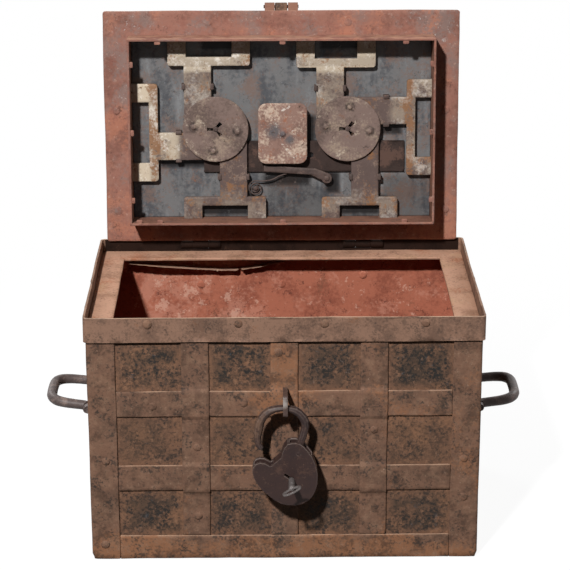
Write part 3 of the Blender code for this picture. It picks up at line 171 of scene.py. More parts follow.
world = bpy.data.worlds.new("studio")
world.use_nodes = True
scene.world = world
sky = world.node_tree
sky.nodes.clear()
strength = add(sky, "ShaderNodeMapRange", {"To Min": FILL, "To Max": 1.0}, {"Value": seen_rays(sky)})
studio = add(sky, "ShaderNodeBackground", {"Color": linear("#ffffff")}, {"Strength": strength.outputs[0]})
add(sky, "ShaderNodeOutputWorld", links={"Surface": studio.outputs[0]})
print("world fill", FILL)

# %% Floor
FLOOR_HALF, FLOOR_DROP = 16.0, 0.0004
SHADOW_START, SHADOW_END, FLOOR_GLOW = 0.45, 1.3, 0.92


def mesh_of(bm, name):
    """The form as a mesh."""
    mesh = bpy.data.meshes.new(name)
    bm.to_mesh(mesh)
    bm.free()
    return mesh


bm = bmesh.new()
bmesh.ops.create_grid(bm, x_segments=1, y_segments=1, size=FLOOR_HALF)
bmesh.ops.translate(bm, vec=(0, 0, -FLOOR_DROP), verts=bm.verts)
floor = stand("floor", mesh_of(bm, "floor"))
print("floor", FLOOR_HALF*2, "m wide")

# %% Floor paper
# Matte white paper: it takes the chest's shadow near by, and fades to plain white further off.
paper = bpy.data.materials.new("matte_white_paper")
paper.use_nodes = True
tree = paper.node_tree
tree.nodes.clear()
place = add(tree, "ShaderNodeTexCoord")
reach = add(tree, "ShaderNodeVectorMath", {"operation": "LENGTH"}, {0: place.outputs["Object"]})
far = add(tree, "ShaderNodeMapRange",
          {"interpolation_type": "SMOOTHSTEP", "From Min": SHADOW_START, "From Max": SHADOW_END},
          {"Value": reach.outputs["Value"]})
matte = add(tree, "ShaderNodeBsdfDiffuse", {"Color": linear("#595959")})
dim = add(tree, "ShaderNodeBsdfDiffuse", {"Color": linear("#383838")})
glow = add(tree, "ShaderNodeEmission", {"Color": linear("#ffffff"), "Strength": FLOOR_GLOW})
near = add(tree, "ShaderNodeAddShader", links={0: matte.outputs[0], 1: glow.outputs[0]})
white = add(tree, "ShaderNodeEmission", {"Color": linear("#ffffff"), "Strength": 1.0})
shown = add(tree, "ShaderNodeMixShader", links={0: far.outputs[0], 1: near.outputs[0], 2: white.outputs[0]})
both = add(tree, "ShaderNodeMixShader", links={0: seen_rays(tree), 1: dim.outputs[0], 2: shown.outputs[0]})
add(tree, "ShaderNodeOutputMaterial", links={"Surface": both.outputs[0]})
floor.data.materials.append(paper)
print("paper ready", paper.name)

# %% [markdown]
# ## A finish made of layers
#
# Old iron is never one colour. Brown rust, black scale, orange bloom and rubbed bare metal lie over
# each other in patches of different sizes. Each finish here is a base colour with a list of such
# layers. A layer is a cloud pattern of a stated size in millimetres, broken up by a finer grain, and
# it shows where the cloud is above its cut. Attributes painted on the mesh can push a layer towards
# edges, panel middles or worn ends.

# %% What a layer holds
# A coat has its colour, the cloud's size, the two values between which it comes in, and its amount.
# Grain is a finer size and its share. Push is an attribute and the weight with which it is added to
# the cloud. A mask is an attribute that the coat keeps to. Rough is added to the roughness.
Coat = namedtuple("Coat", "colour size cut amount grain stretch push mask rough",
                  defaults=(None, (1, 1, 1), None, None, 0.0))
print("a coat holds", ", ".join(Coat._fields))


# %% The function that builds a layered finish
LAYER_SHIFT = (3.7, 1.9, 5.3)     # keeps the clouds of two layers apart


def weathered(name, base, layers, roughness, pits, specular=0.10, metallic=0.0):
    """A matte metal finish. Pits are pairs of a size and a depth in millimetres."""
    material = bpy.data.materials.new(name)
    material.use_nodes = True
    tree = material.node_tree
    shader = tree.nodes["Principled BSDF"]
    shader.inputs["Metallic"].default_value = metallic
    shader.inputs["Roughness"].default_value = roughness
    shader.inputs["Specular IOR Level"].default_value = specular
    place = add(tree, "ShaderNodeTexCoord").outputs["Object"]
    colour, rough = None, None
    for step, layer in enumerate(layers):
        scale = [1000/(layer.size*s) for s in layer.stretch]
        spot = add(tree, "ShaderNodeMapping", {"Location": [step*s for s in LAYER_SHIFT], "Scale": scale},
                   {"Vector": place})
        value = add(tree, "ShaderNodeTexNoise", {"Scale": 1.0, "Detail": 3.0, "Roughness": 0.55},
                    {"Vector": spot.outputs[0]}).outputs[0]
        if layer.grain:
            size, share = layer.grain
            fine = add(tree, "ShaderNodeTexNoise", {"Scale": 1000/size, "Detail": 4.0, "Roughness": 0.65},
                       {"Vector": place})
            value = add(tree, "ShaderNodeMix", {"data_type": "FLOAT", 0: share},
                        {2: value, 3: fine.outputs[0]}).outputs[0]
        if layer.push:
            field, weight = layer.push
            painted = add(tree, "ShaderNodeAttribute", {"attribute_name": field})
            value = add(tree, "ShaderNodeMath", {"operation": "MULTIPLY_ADD", 1: weight},
                        {0: painted.outputs["Fac"], 2: value}).outputs[0]
        low, high = layer.cut
        cover = add(tree, "ShaderNodeMapRange",
                    {"interpolation_type": "SMOOTHSTEP", "From Min": low, "From Max": high,
                     "To Max": layer.amount}, {"Value": value}).outputs[0]
        if layer.mask:
            painted = add(tree, "ShaderNodeAttribute", {"attribute_name": layer.mask})
            cover = add(tree, "ShaderNodeMath", {"operation": "MULTIPLY"},
                        {0: cover, 1: painted.outputs["Fac"]}).outputs[0]
        mix = add(tree, "ShaderNodeMix", {"data_type": "RGBA", 6: linear(base), 7: linear(layer.colour)},
                  {0: cover})
        if colour:
            tree.links.new(colour, mix.inputs[6])
        colour = mix.outputs[2]
        if layer.rough:
            gloss = add(tree, "ShaderNodeMath", {"operation": "MULTIPLY_ADD", 1: layer.rough, 2: roughness},
                        {0: cover})
            if rough:
                tree.links.new(rough, gloss.inputs[2])
            rough = gloss.outputs[0]
    height = None
    for size, depth in pits:
        dip = add(tree, "ShaderNodeTexNoise", {"Scale": 1000/size, "Detail": 2.0}, {"Vector": place})
        deep = add(tree, "ShaderNodeMath", {"operation": "MULTIPLY_ADD", 1: depth/1000, 2: 0.0},
                   {0: dip.outputs[0]})
        if height:
            tree.links.new(height, deep.inputs[2])
        height = deep.outputs[0]
    bump = add(tree, "ShaderNodeBump", {"Strength": 1.0, "Distance": 1.0}, {"Height": height})
    tree.links.new(colour, shader.inputs["Base Color"])
    if rough:
        tree.links.new(rough, shader.inputs["Roughness"])
    tree.links.new(bump.outputs[0], shader.inputs["Normal"])
    return material


# %% [markdown]
# ### Browned iron of the box
#
# The straps were rolled or hammered flat and have rusted to an even brown. The sheets behind them
# keep more of the black forge scale, most of all in the middle of each panel, where no strap has
# rubbed. The band round the rim is smoother and a little greyer. One list of layers serves them all,
# with the black scale set by how much each keeps.

# %% Box finishes
# Browned strap iron: dry brown oxide, orange bloom, black specks, and a painted highlight on upper edges.
strap_iron = weathered("browned_strap_iron", "#7d5e4d", [
    Coat("#5b473c", 60, (0.42, 0.62), 0.55, (6, 0.4)),
    Coat("#97694c", 75, (0.54, 0.68), 0.75, (5, 0.4), push=("bloom", 0.17)),
    Coat("#94745f", 14, (0.47, 0.62), 0.60, (4, 0.5)),
    Coat("#44352d", 22, (0.46, 0.62), 0.65, (4, 0.45)),
    Coat("#2d2d2c", 34, (0.52, 0.63), 0.70, (4, 0.50), rough=-0.05),
    Coat("#b0937d", 7, (0.56, 0.70), 0.50, (2.4, 0.5)),
    Coat("#cfab90", 30, (0.30, 0.52), 0.95, mask="painted_highlight", rough=-0.08),
], roughness=0.74, pits=[(9, 0.6), (2.2, 0.22)])

# Blackened sheet iron: the same brown under blue-black forge scale that breaks into fine stipple.
sheet_iron = weathered("blackened_sheet_iron", "#785947", [
    Coat("#946c52", 50, (0.46, 0.62), 0.60, (5, 0.45)),
    Coat("#34332f", 34, (0.34, 0.58), 0.68, (8, 0.45), mask="panel"),
    Coat("#4a3c33", 16, (0.45, 0.62), 0.55, (4, 0.5)),
    Coat("#1d2426", 20, (0.45, 0.61), 0.80, (4, 0.58), mask="panel", rough=-0.08),
    Coat("#2a2b2b", 26, (0.52, 0.64), 0.70, (4, 0.55)),
    Coat("#9c765d", 9, (0.53, 0.67), 0.45, (3, 0.55)),
    Coat("#51606a", 12, (0.57, 0.70), 0.40, (3, 0.5), mask="panel"),
], roughness=0.76, pits=[(8, 0.6), (2.0, 0.26)])

# Rubbed band iron: brown, smoothed by hands and the lid, faint upright scratches, painted highlight on upper
# edges.
band_iron = weathered("rubbed_band_iron", "#8f6f5d", [
    Coat("#5a463c", 50, (0.46, 0.62), 0.60, (4, 0.4)),
    Coat("#866e5f", 9, (0.52, 0.66), 0.22, (2, 0.3), stretch=(0.6, 0.6, 4)),
    Coat("#8c5b3c", 65, (0.55, 0.68), 0.65, (3, 0.4)),
    Coat("#4b3e37", 15, (0.52, 0.61), 0.50, (3, 0.5)),
    Coat("#37322f", 22, (0.54, 0.64), 0.65, (3.2, 0.6)),
    Coat("#bd9f88", 30, (0.30, 0.52), 0.90, mask="painted_highlight", rough=-0.10),
], roughness=0.66, pits=[(10, 0.5), (2.0, 0.18)])

# Flange iron: worn to tan by everything that passed over it, with darker drag marks.
flange_iron = weathered("worn_flange_iron", "#bb9179", [
    Coat("#83604b", 45, (0.47, 0.62), 0.65, (4, 0.4)),
    Coat("#c09a7b", 11, (0.52, 0.64), 0.60, (3, 0.35), stretch=(5, 5, 1)),
    Coat("#aa6847", 55, (0.54, 0.66), 0.65, (4, 0.4)),
    Coat("#57443a", 16, (0.565, 0.635), 0.70, (2.6, 0.55)),
    Coat("#cbb095", 9, (0.60, 0.66), 0.55, (2, 0.5)),
], roughness=0.68, pits=[(9, 0.5), (2.0, 0.18)])

# Painted shade for the hinges: knuckles and pins brown-black, as dark as the shade at the lid's back edge.
hinge_shade_iron = weathered("painted_shade_hinge_iron", "#291c17", [
    Coat("#19110e", 22, (0.46, 0.62), 0.65, (3, 0.4)),
    Coat("#553d30", 14, (0.58, 0.68), 0.50, (2.4, 0.45)),
], roughness=0.80, pits=[(7, 0.3), (2.0, 0.12)], specular=0.05)
print("box finishes ready")

# %% [markdown]
# ### Red lead paint
#
# The inside of such a chest was often painted with red lead against rust. What is left is a chalky
# salmon coat, thin and pale where it was wiped and dark where damp has come through. The lid's inner
# border has the same paint, rubbed back to brown and grey iron.

# %% Paint finishes
# Red lead paint: chalky salmon with pale flaked clouds, dark damp stains and small chips.
inner_paint = weathered("chalky_red_lead_paint", "#ac6953", [
    Coat("#7d4537", 55, (0.46, 0.62), 0.65, (6, 0.4)),
    Coat("#c08570", 34, (0.53, 0.64), 0.65, (5, 0.4), push=("flaked", 0.13)),
    Coat("#5c352d", 15, (0.56, 0.63), 0.70, (2.6, 0.55)),
    Coat("#d3a793", 15, (0.59, 0.66), 0.60, (3.4, 0.4), push=("flaked", 0.07)),
    Coat("#71503f", 40, (0.56, 0.66), 0.50, (4, 0.4), stretch=(1, 1, 3)),
], roughness=0.84, pits=[(7, 0.4), (1.8, 0.16)])

# Rubbed red lead over iron: red-brown paint, mauve iron and orange rust coming through, painted highlight on
# tops.
lid_paint = weathered("rubbed_red_lead_paint", "#976b5d", [
    Coat("#6d4a40", 45, (0.45, 0.62), 0.60, (6, 0.4)),
    Coat("#84726c", 40, (0.48, 0.64), 0.75, (5, 0.42), push=("scuff", 0.10)),
    Coat("#ae745d", 36, (0.51, 0.66), 0.75, (5, 0.42), push=("bloom", 0.10)),
    Coat("#8a5b50", 14, (0.50, 0.64), 0.60, (4, 0.5)),
    Coat("#bd9a8a", 10, (0.56, 0.68), 0.55, (3, 0.5)),
    Coat("#49332d", 18, (0.56, 0.67), 0.60, (3.4, 0.5)),
    Coat("#bdb6b2", 12, (0.57, 0.66), 0.85, (3, 0.5), mask="scuff"),
    Coat("#c0947b", 22, (0.36, 0.58), 0.60, mask="painted_highlight", rough=-0.10),
], roughness=0.76, pits=[(8, 0.5), (2.0, 0.2)])

# Aged lining: a strip of coarse cloth, once pasted in, stained beige.
lining_cloth = weathered("stained_lining_cloth", "#a3816e", [
    Coat("#8f6f50", 18, (0.48, 0.64), 0.60, (2, 0.4)),
    Coat("#cdb795", 7, (0.54, 0.66), 0.60, (1.2, 0.5)),
    Coat("#5d4636", 10, (0.59, 0.66), 0.60, (1.4, 0.5)),
], roughness=0.92, pits=[(4, 0.2), (1.0, 0.12)], specular=0.1)
print("paint finishes ready")

# %% [markdown]
# ### Bright parts of the lock
#
# The lock's plate is blue-grey steel with rust spots. Bolts and cross bars were once filed bright and
# have dulled to cream, with brown stains. Towards the rotors they darken to mauve brown, which the
# attribute called bright carries. The rotors and the cover over the key post are mottled tan.

# %% Lock finishes
# Blued lock steel: grey with upright smears, brown clouds, rust spots, and black painted shade under and
# beside the works.
plate_steel = weathered("blued_lock_steel", "#706f6f", [
    Coat("#44464b", 60, (0.45, 0.60), 0.80, (6, 0.35), stretch=(0.6, 0.6, 1.6)),
    Coat("#8a8c8e", 24, (0.52, 0.68), 0.55, (3, 0.35), stretch=(0.5, 0.5, 4)),
    Coat("#77635a", 46, (0.48, 0.62), 0.80, (4, 0.4)),
    Coat("#8a5b40", 11, (0.59, 0.68), 0.70, (2.4, 0.5)),
    Coat("#a6a8a9", 6, (0.60, 0.70), 0.45, (1.8, 0.5)),
    Coat("#2f2e30", 14, (0.56, 0.67), 0.60, (2.6, 0.5)),
    Coat("#161313", 14, (0.20, 0.45), 0.92, (3, 0.4), mask="dirt_and_painted_shade"),
], roughness=0.62, pits=[(12, 0.4), (2.2, 0.14)], specular=0.15, metallic=0.1)

# Filed bolt iron: dull cream where bright, mauve brown at the inner end, rust stains, black painted shade
# under the star holes.
bolt_iron = weathered("filed_bolt_iron", "#62524d", [
    Coat("#584944", 26, (0.46, 0.63), 0.60, (3, 0.40)),
    Coat("#9b8474", 12, (0.52, 0.66), 0.60, (2.4, 0.45)),
    Coat("#cdbda6", 30, (0.46, 0.64), 0.97, (4, 0.35), push=("bright", 0.24), mask="bright", rough=-0.10),
    Coat("#8a6243", 30, (0.52, 0.62), 0.85, (4, 0.45), push=("rust", 0.10)),
    Coat("#f2ece2", 24, (0.50, 0.64), 0.85, (3.4, 0.40), mask="bright"),
    Coat("#6f4a2f", 12, (0.60, 0.67), 0.85, (3, 0.45)),
    Coat("#2f231d", 8, (0.63, 0.70), 0.85, (2.4, 0.4)),
    Coat("#171312", 9, (0.20, 0.42), 0.95, (2, 0.4), mask="dirt_and_painted_shade"),
], roughness=0.64, pits=[(8, 0.45), (1.8, 0.18)], specular=0.2)

# Mottled rotor iron: mauve grey with tan scuffs and dark rings of painted shade round the pin heads.
rotor_iron = weathered("mottled_rotor_iron", "#7d6961", [
    Coat("#52443e", 40, (0.45, 0.62), 0.70, (4, 0.40)),
    Coat("#a08d7b", 30, (0.50, 0.66), 0.80, (3.4, 0.42)),
    Coat("#cbbba6", 20, (0.56, 0.68), 0.75, (3, 0.42)),
    Coat("#7f5138", 16, (0.58, 0.68), 0.55, (2.6, 0.45)),
    Coat("#352b28", 11, (0.58, 0.67), 0.75, (2.4, 0.45)),
    Coat("#171312", 9, (0.30, 0.52), 0.97, (2, 0.4), mask="dirt_and_painted_shade"),
], roughness=0.64, pits=[(8, 0.45), (1.8, 0.18)], specular=0.2)

# Cover plate iron: dull pink with cream patches where thumbs pushed it, grey round the post.
cover_iron = weathered("thumbed_cover_iron", "#8f7165", [
    Coat("#6b5048", 34, (0.46, 0.62), 0.65, (4, 0.40)),
    Coat("#c9b3a0", 36, (0.47, 0.60), 0.90, (3.6, 0.42)),
    Coat("#975f46", 24, (0.52, 0.63), 0.75, (3.2, 0.48)),
    Coat("#54575b", 12, (0.30, 0.52), 0.85, (2, 0.45), mask="dirt_and_painted_shade"),
    Coat("#f0e9de", 20, (0.58, 0.66), 0.85, (3, 0.45)),
    Coat("#35281f", 9, (0.58, 0.66), 0.80, (2.4, 0.45)),
], roughness=0.62, pits=[(8, 0.45), (1.8, 0.18)], specular=0.2)

# Frame iron: the walls round the lock, red-brown paint worn to mauve iron, with pale rims.
frame_iron = weathered("painted_frame_iron", "#8a6352", [
    Coat("#5d4038", 36, (0.47, 0.63), 0.65, (3, 0.4)),
    Coat("#6c5550", 26, (0.53, 0.65), 0.65, (3, 0.4)),
    Coat("#a0694e", 14, (0.58, 0.66), 0.55, (2.2, 0.5)),
    Coat("#b08c74", 22, (0.42, 0.60), 0.55, mask="edge"),
], roughness=0.72, pits=[(8, 0.4), (2.0, 0.16)])

# Dark works iron: mauve brown, for the bar, the lever, the guides and the spring.
works_iron = weathered("oiled_works_iron", "#574843", [
    Coat("#3f3532", 26, (0.47, 0.62), 0.65, (3, 0.4)),
    Coat("#765f53", 14, (0.54, 0.65), 0.60, (2.2, 0.45)),
    Coat("#8a5a40", 12, (0.60, 0.67), 0.50, (2.2, 0.5)),
    Coat("#8b776a", 20, (0.40, 0.60), 0.45, mask="edge", rough=-0.10),
], roughness=0.58, pits=[(8, 0.3), (1.8, 0.12)], specular=0.2)

# Bar iron: nearly black, with brown at one place towards its right end.
bar_iron = weathered("dark_bar_iron", "#3f332f", [
    Coat("#2a2220", 24, (0.46, 0.62), 0.65, (3, 0.4)),
    Coat("#6a5147", 20, (0.54, 0.66), 0.65, (3, 0.4), push=("bright", 0.15)),
], roughness=0.66, pits=[(8, 0.3), (1.8, 0.12)])
print("lock finishes ready")

# %% [markdown]
# ### Handled iron
#
# The padlock, its shackle and the side handles were touched most, so they are dark, smooth and a
# little oily. Their rims are rubbed lighter, and the upper rims more, which is a painted highlight.

# %% Handled finishes
# Dark padlock iron: smooth brown-black with a satin sheen, brown edges, and pale worn rims with a painted
# highlight on top.
padlock_iron = weathered("satin_padlock_iron", "#372825", [
    Coat("#2b2020", 26, (0.46, 0.63), 0.60, (3, 0.35)),
    Coat("#5a4339", 18, (0.53, 0.66), 0.60, (2.4, 0.4)),
    Coat("#7a6050", 8, (0.60, 0.69), 0.50, (2, 0.45), rough=-0.05),
    Coat("#7b5f4d", 16, (0.36, 0.58), 0.65, (3, 0.4), mask="bright"),
    Coat("#a3938a", 18, (0.28, 0.50), 0.85, (3, 0.3), mask="worn_and_highlit_edges", rough=-0.08),
], roughness=0.46, pits=[(11, 0.35), (2.0, 0.08)], specular=0.2)

# Staple iron: the same iron, with a painted highlight on its nose.
staple_iron = weathered("highlit_staple_iron", "#4a3a35", [
    Coat("#6f5a4d", 12, (0.48, 0.62), 0.60, (2.4, 0.4)),
    Coat("#aaa19b", 14, (0.30, 0.50), 0.85, (3, 0.3), mask="bright", rough=-0.12),
], roughness=0.44, pits=[(8, 0.3), (2.0, 0.08)], specular=0.3)

# Bare key iron: grey, kept bright by the hand.
key_iron = weathered("bare_key_iron", "#6b6462", [
    Coat("#57504c", 9, (0.50, 0.64), 0.60, (2, 0.4)),
    Coat("#a39e9b", 6, (0.54, 0.64), 0.60, (1.6, 0.4)),
], roughness=0.42, pits=[(5, 0.15), (1.4, 0.06)], specular=0.3, metallic=0.3)

# Hand-worn handle iron: grey-brown with darker hollows.
handle_iron = weathered("hand_worn_handle_iron", "#564a47", [
    Coat("#3b3231", 26, (0.47, 0.62), 0.65, (3, 0.35)),
    Coat("#8a766d", 14, (0.50, 0.63), 0.65, (2.2, 0.4)),
    Coat("#75533f", 18, (0.59, 0.67), 0.55, (2.2, 0.4)),
], roughness=0.50, pits=[(9, 0.35), (2.0, 0.09)], specular=0.3)
print("handled finishes ready")

# %% [markdown]
# ## Forging a piece
#
# A smith's strap has soft corners and shallow hammer dents, and a sheet that was riveted by hand is
# never quite flat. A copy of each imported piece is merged, its flat faces are joined, its outer edges
# get a small chamfer, and it is cut into cells. Then every point moves: a slow warp that neighbours
# share, so that nothing comes apart, and dents that only go inwards. Sculpting by hand would do it
# too, but a rule gives the same piece on every run.

# %% Warp and dents
WARP_LENGTH, RIPPLE_LENGTH, RIPPLE_SHARE = 0.13, 0.045, 0.35
DENT_LENGTH, PIT_LENGTH, PIT_SHARE = 0.024, 0.009, 0.4
BOX_HALF_WIDTH, FOOT_ROUND = 0.280, 0.007


def warped(point, most):
    """A slow shared drift of the metal, as far as the given distance, in metres."""
    slow, quick = point/WARP_LENGTH, point/RIPPLE_LENGTH
    drift = Vector([noise.noise(slow + Vector((17*k, 5*k, 11*k))) for k in (1, 2, 3)])
    drift += RIPPLE_SHARE*Vector([noise.noise(quick + Vector((7*k, 13*k, 3*k))) for k in (1, 2, 3)])
    return drift*most


def rounded_foot(point):
    """Points of the box's lower outer corners, drawn in to a round."""
    side = BOX_HALF_WIDTH - FOOT_ROUND
    if point.z >= FOOT_ROUND or abs(point.x) <= side:
        return point
    limit = side + math.sqrt(max(0.0, FOOT_ROUND**2 - (FOOT_ROUND - point.z)**2))
    return Vector((math.copysign(min(abs(point.x), limit), point.x), point.y, point.z))


def hammered(bm, dent, warp=0.0):
    """Move every point by the shared warp and by its own dents."""
    bm.normal_update()
    for vert in bm.verts:
        normal = vert.normal.copy()
        hollow = max(0.0, noise.noise(vert.co/DENT_LENGTH + normal))
        hollow += PIT_SHARE*max(0.0, noise.noise(vert.co/PIT_LENGTH))
        point = vert.co - normal*hollow*dent
        vert.co = rounded_foot(point + warped(vert.co, warp)) if warp else point


print("warp at a corner, mm", [round(v*1000, 2) for v in warped(Vector((0.28, -0.185, 0.3)), 0.0009)])

# %% [markdown]
# Some values are painted on the mesh for the finishes to read. Upper faces get a painted highlight, pale as
# if lit from above. Spots rise towards a middle, for wear, bloom, dirt, painted shade and painted highlights.

# %% Painted values
HIGHLIGHT_LEAN, HIGHLIGHT_SPAN, SPOT_GAIN, OUTSIDE = 0.62, 0.3, 1.6, 0.3


def unit(value):
    """A value held between 0 and 1."""
    return max(0.0, min(1.0, value))


def highlight_upper_faces(bm):
    """Face values for a painted highlight on upper edges. Slopes of a bent strap stay plain."""
    painted_highlight = bm.faces.layers.float.new("painted_highlight")
    for face in bm.faces:
        face[painted_highlight] = unit((face.normal.z - HIGHLIGHT_LEAN)/HIGHLIGHT_SPAN)


def spotted(bm, name, spots):
    """Point values that rise from 0 to 1 towards each spot, given as a place and a radius."""
    layer = bm.verts.layers.float.new(name)
    for vert in bm.verts:
        near = max(1.0 - (vert.co - Vector(place)).length/radius for place, radius in spots)
        vert[layer] = unit(SPOT_GAIN*near)


print("a spot is full for", round(1 - 1/SPOT_GAIN, 3), "of its radius")

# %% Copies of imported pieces
FLAT, OUTER_EDGE, SHARP_EDGE = (math.radians(angle) for angle in (1, 50, 38))


def merged_copy(node):
    """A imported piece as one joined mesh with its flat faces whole."""
    bm = bmesh.new()
    bm.from_mesh(nodes[node].data)
    bmesh.ops.remove_doubles(bm, verts=bm.verts, dist=1e-5)
    bmesh.ops.dissolve_limit(bm, angle_limit=FLAT, verts=bm.verts, edges=bm.edges,
                             use_dissolve_boundaries=False)
    return bm


def reshaped(bm, rule):
    """Move every point by a rule, if there is one."""
    if rule:
        for vert in bm.verts:
            vert.co = rule(vert.co.copy())


def sliced(bm, place, normal):
    """Cut the faces along a plane, so that there are points to move."""
    bmesh.ops.bisect_plane(bm, geom=bm.verts[:] + bm.edges[:] + bm.faces[:], dist=1e-6,
                           plane_co=place, plane_no=normal)


def bevelled(bm, edges, width, segments):
    """Chamfer or round these edges, and return the new faces."""
    return bmesh.ops.bevel(bm, geom=edges, offset=width, offset_type="OFFSET", segments=segments, profile=0.5,
                           affect="EDGES", clamp_overlap=True)["faces"]


sample = merged_copy("front_centre_strap")
print("centre strap", len(sample.faces), "whole faces")
sample.free()

# %% Forge and finish
def forged(node, cell, chamfer, dent, warp=0.0, reshape=None, corner=None, radius=0.0):
    """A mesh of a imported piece, reshaped first if asked, with chamfered edges, cells and hammer dents.

    Edges that the corner test picks are filed to this radius before the chamfers.
    """
    bm = merged_copy(node)
    reshaped(bm, reshape)
    if corner:
        bevelled(bm, [edge for edge in bm.edges if corner(edge)], radius, segments=4)
    outer = [edge for edge in bm.edges if edge.is_manifold and edge.calc_face_angle_signed(0.0) > OUTER_EDGE]
    chamfered = bm.faces.layers.float.new("edge")
    for face in bevelled(bm, outer, chamfer, segments=1):
        face[chamfered] = 1.0
    for axis in range(3):
        reach = [vert.co[axis] for vert in bm.verts]
        normal = Vector([float(k == axis) for k in range(3)])
        for step in range(math.floor(min(reach)/cell) + 1, math.ceil(max(reach)/cell)):
            sliced(bm, normal*step*cell, normal)
    # Upper faces get the values of the painted highlight.
    highlight_upper_faces(bm)
    hammered(bm, dent, warp)
    return bm


def finished(bm, node, materials):
    """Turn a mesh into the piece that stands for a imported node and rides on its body."""
    name = f"forged_{node}"
    mesh = mesh_of(bm, name)
    for material in materials:
        mesh.materials.append(material)
    mesh.shade_smooth()
    mesh.set_sharp_from_angle(angle=SHARP_EDGE)
    piece = stand(name, mesh)
    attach(piece, body_of(nodes[node])[0])
    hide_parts(node)
    return piece


def bare(node, material):
    """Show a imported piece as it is, with this finish."""
    nodes[node].data.materials.clear()
    nodes[node].data.materials.append(material)


# %% [markdown]
# ## Places on the chest
#
# The lid leans back, so places on it are given along its width, up from its back edge, and out from its
# inner face. One function turns such a place into a point, and one turns it back. The rivets come next,
# as points with the way they face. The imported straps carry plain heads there, which are pressed flat in
# the copies, so that hammered heads can take their place later.

# %% Places on the lid
SIDES = (-1, 1)
LID_HINGE, LEAN = Vector((0.0, 0.1868, 0.3629)), math.radians(5.2)
LID_UP = Vector((0.0, math.sin(LEAN), math.cos(LEAN)))
LID_OUT = Vector((0.0, -math.cos(LEAN), math.sin(LEAN)))
LID_FOOT, LID_FACE = 0.0075, 0.0085     # from the hinge's axis to the lid's back edge and to its inner face


def on_lid(x, reach, rise):
    """The point on the leaning lid at this place, with its rise measured from the inner face."""
    return LID_HINGE + Vector((x, 0, 0)) + LID_UP*(reach + LID_FOOT) + LID_OUT*(rise + LID_FACE)


def lid_place(point):
    """The reach up the lid and the rise from its inner face of a point."""
    away = point - LID_HINGE
    return away.dot(LID_UP) - LID_FOOT, away.dot(LID_OUT) - LID_FACE


print("lid corner", [round(v, 3) for v in on_lid(0.2725, 0.358, 0.0)])

# %% Rivet places
FRONT, BACK = Vector((0, -1, 0)), Vector((0, 1, 0))
FACE_Y, FACE_X, BAND_OUT, BAND_Z, INNER_Y = 0.185, 0.280, 0.0033, 0.3629, 0.179
FRONT_RIVETS = ((-0.188, 0.238), (-0.058, 0.2427), (-0.1253, 0.175), (-0.1253, 0.0677), (-0.0085, 0.319),
                (0.1276, 0.201), (-0.256, 0.154), (-0.2604, 0.0235), (0.257, 0.1555), (0.258, 0.096))
CLENCHED_RIVETS = ((-0.127, 0.2989), (0.0, 0.2989), (0.127, 0.3139))
LATTICE_ROWS = (0.0665, 0.2115)
LID_EDGE, LID_BORDER, LID_OUTSIDE = 0.2525, 0.254, -0.0065
box_points = [(Vector((x, -FACE_Y, z)), FRONT) for x, z in FRONT_RIVETS]
box_points += [(Vector((x, FACE_Y, z)), BACK) for x in (-0.127, 0.0, 0.127) for z in LATTICE_ROWS]
box_points += [(Vector((x, -FACE_Y - BAND_OUT, BAND_Z)), FRONT) for x in (-0.1925, -0.0644, 0.0563, 0.1986)]
box_points += [(Vector((x, FACE_Y + BAND_OUT, BAND_Z)), BACK) for x in (-0.2, -0.04, 0.04, 0.2)]
for side in SIDES:
    out = Vector((side, 0, 0))
    box_points += [(Vector((side*FACE_X, y, z)), out) for y in (-0.054, 0.054) for z in LATTICE_ROWS]
    box_points += [(Vector((side*(FACE_X + BAND_OUT), y, BAND_Z)), out) for y in (-0.12, 0.0, 0.12)]
clenched_points = [(Vector((x, INNER_Y, z)), FRONT) for x, z in CLENCHED_RIVETS]
lid_points = [(on_lid(side*LID_EDGE, reach, LID_OUTSIDE), -LID_OUT)
              for side in SIDES for reach in (0.05, 0.18, 0.31)]
border_points = [(on_lid(x, 0.340, 0.0), LID_OUT) for x in (-0.112, 0.102)]
border_points += [(on_lid(side*LID_BORDER, reach, 0.0), LID_OUT)
                  for side in SIDES for reach in (0.048, 0.205)]
rivet_points = box_points + clenched_points + lid_points + border_points
print("rivets", len(rivet_points))

# %% Plain heads pressed flat
HEAD_REACH, HEAD_FOOT = 0.0062, 0.0001


def pressed(point):
    """A point of a plain rivet head, put back into the face that carries the head."""
    for place, facing in rivet_points:
        away = point - place
        height = away.dot(facing)
        if height > HEAD_FOOT and (away - facing*height).length < HEAD_REACH:
            return point - facing*height
    return point


# %% [markdown]
# ## Box of sheets and straps
#
# Four sheets make the walls. Their outer sides are blackened iron and their inner sides are painted,
# so each face picks one of two finishes by the way it looks. The black scale is thickest in the middle
# of the panels, most of all in the top and bottom rows, so each point stores how deep it lies in one.

# %% Walls
WALLS = {"front_plate": (1, -1), "back_plate": (1, 1), "left_plate": (0, -1), "right_plate": (0, 1)}
UPRIGHTS = ((-0.1645, -0.054, 0.054, 0.1645), (-0.2595, -0.127, 0.0, 0.127, 0.2595))   # sides, front
STRAP_HALF, PANEL_FADE = 0.0195, 0.014
PANEL_ROWS = ((0.0365, 0.107, 0.9), (0.146, 0.2215, 0.5), (0.2605, 0.336, 1.0))  # foot, top, share of scale
FLAKED = [((-0.17, 0.179, 0.285), 0.07), ((-0.07, 0.179, 0.24), 0.05)]


def panel_depth(along, height, uprights):
    """From 0 beside a strap to the row's share of scale well inside a panel."""
    beside = min(abs(along - line) - STRAP_HALF for line in uprights)
    inside, share = max((min(beside, height - low, high - height), part) for low, high, part in PANEL_ROWS)
    return share*unit(inside/PANEL_FADE)


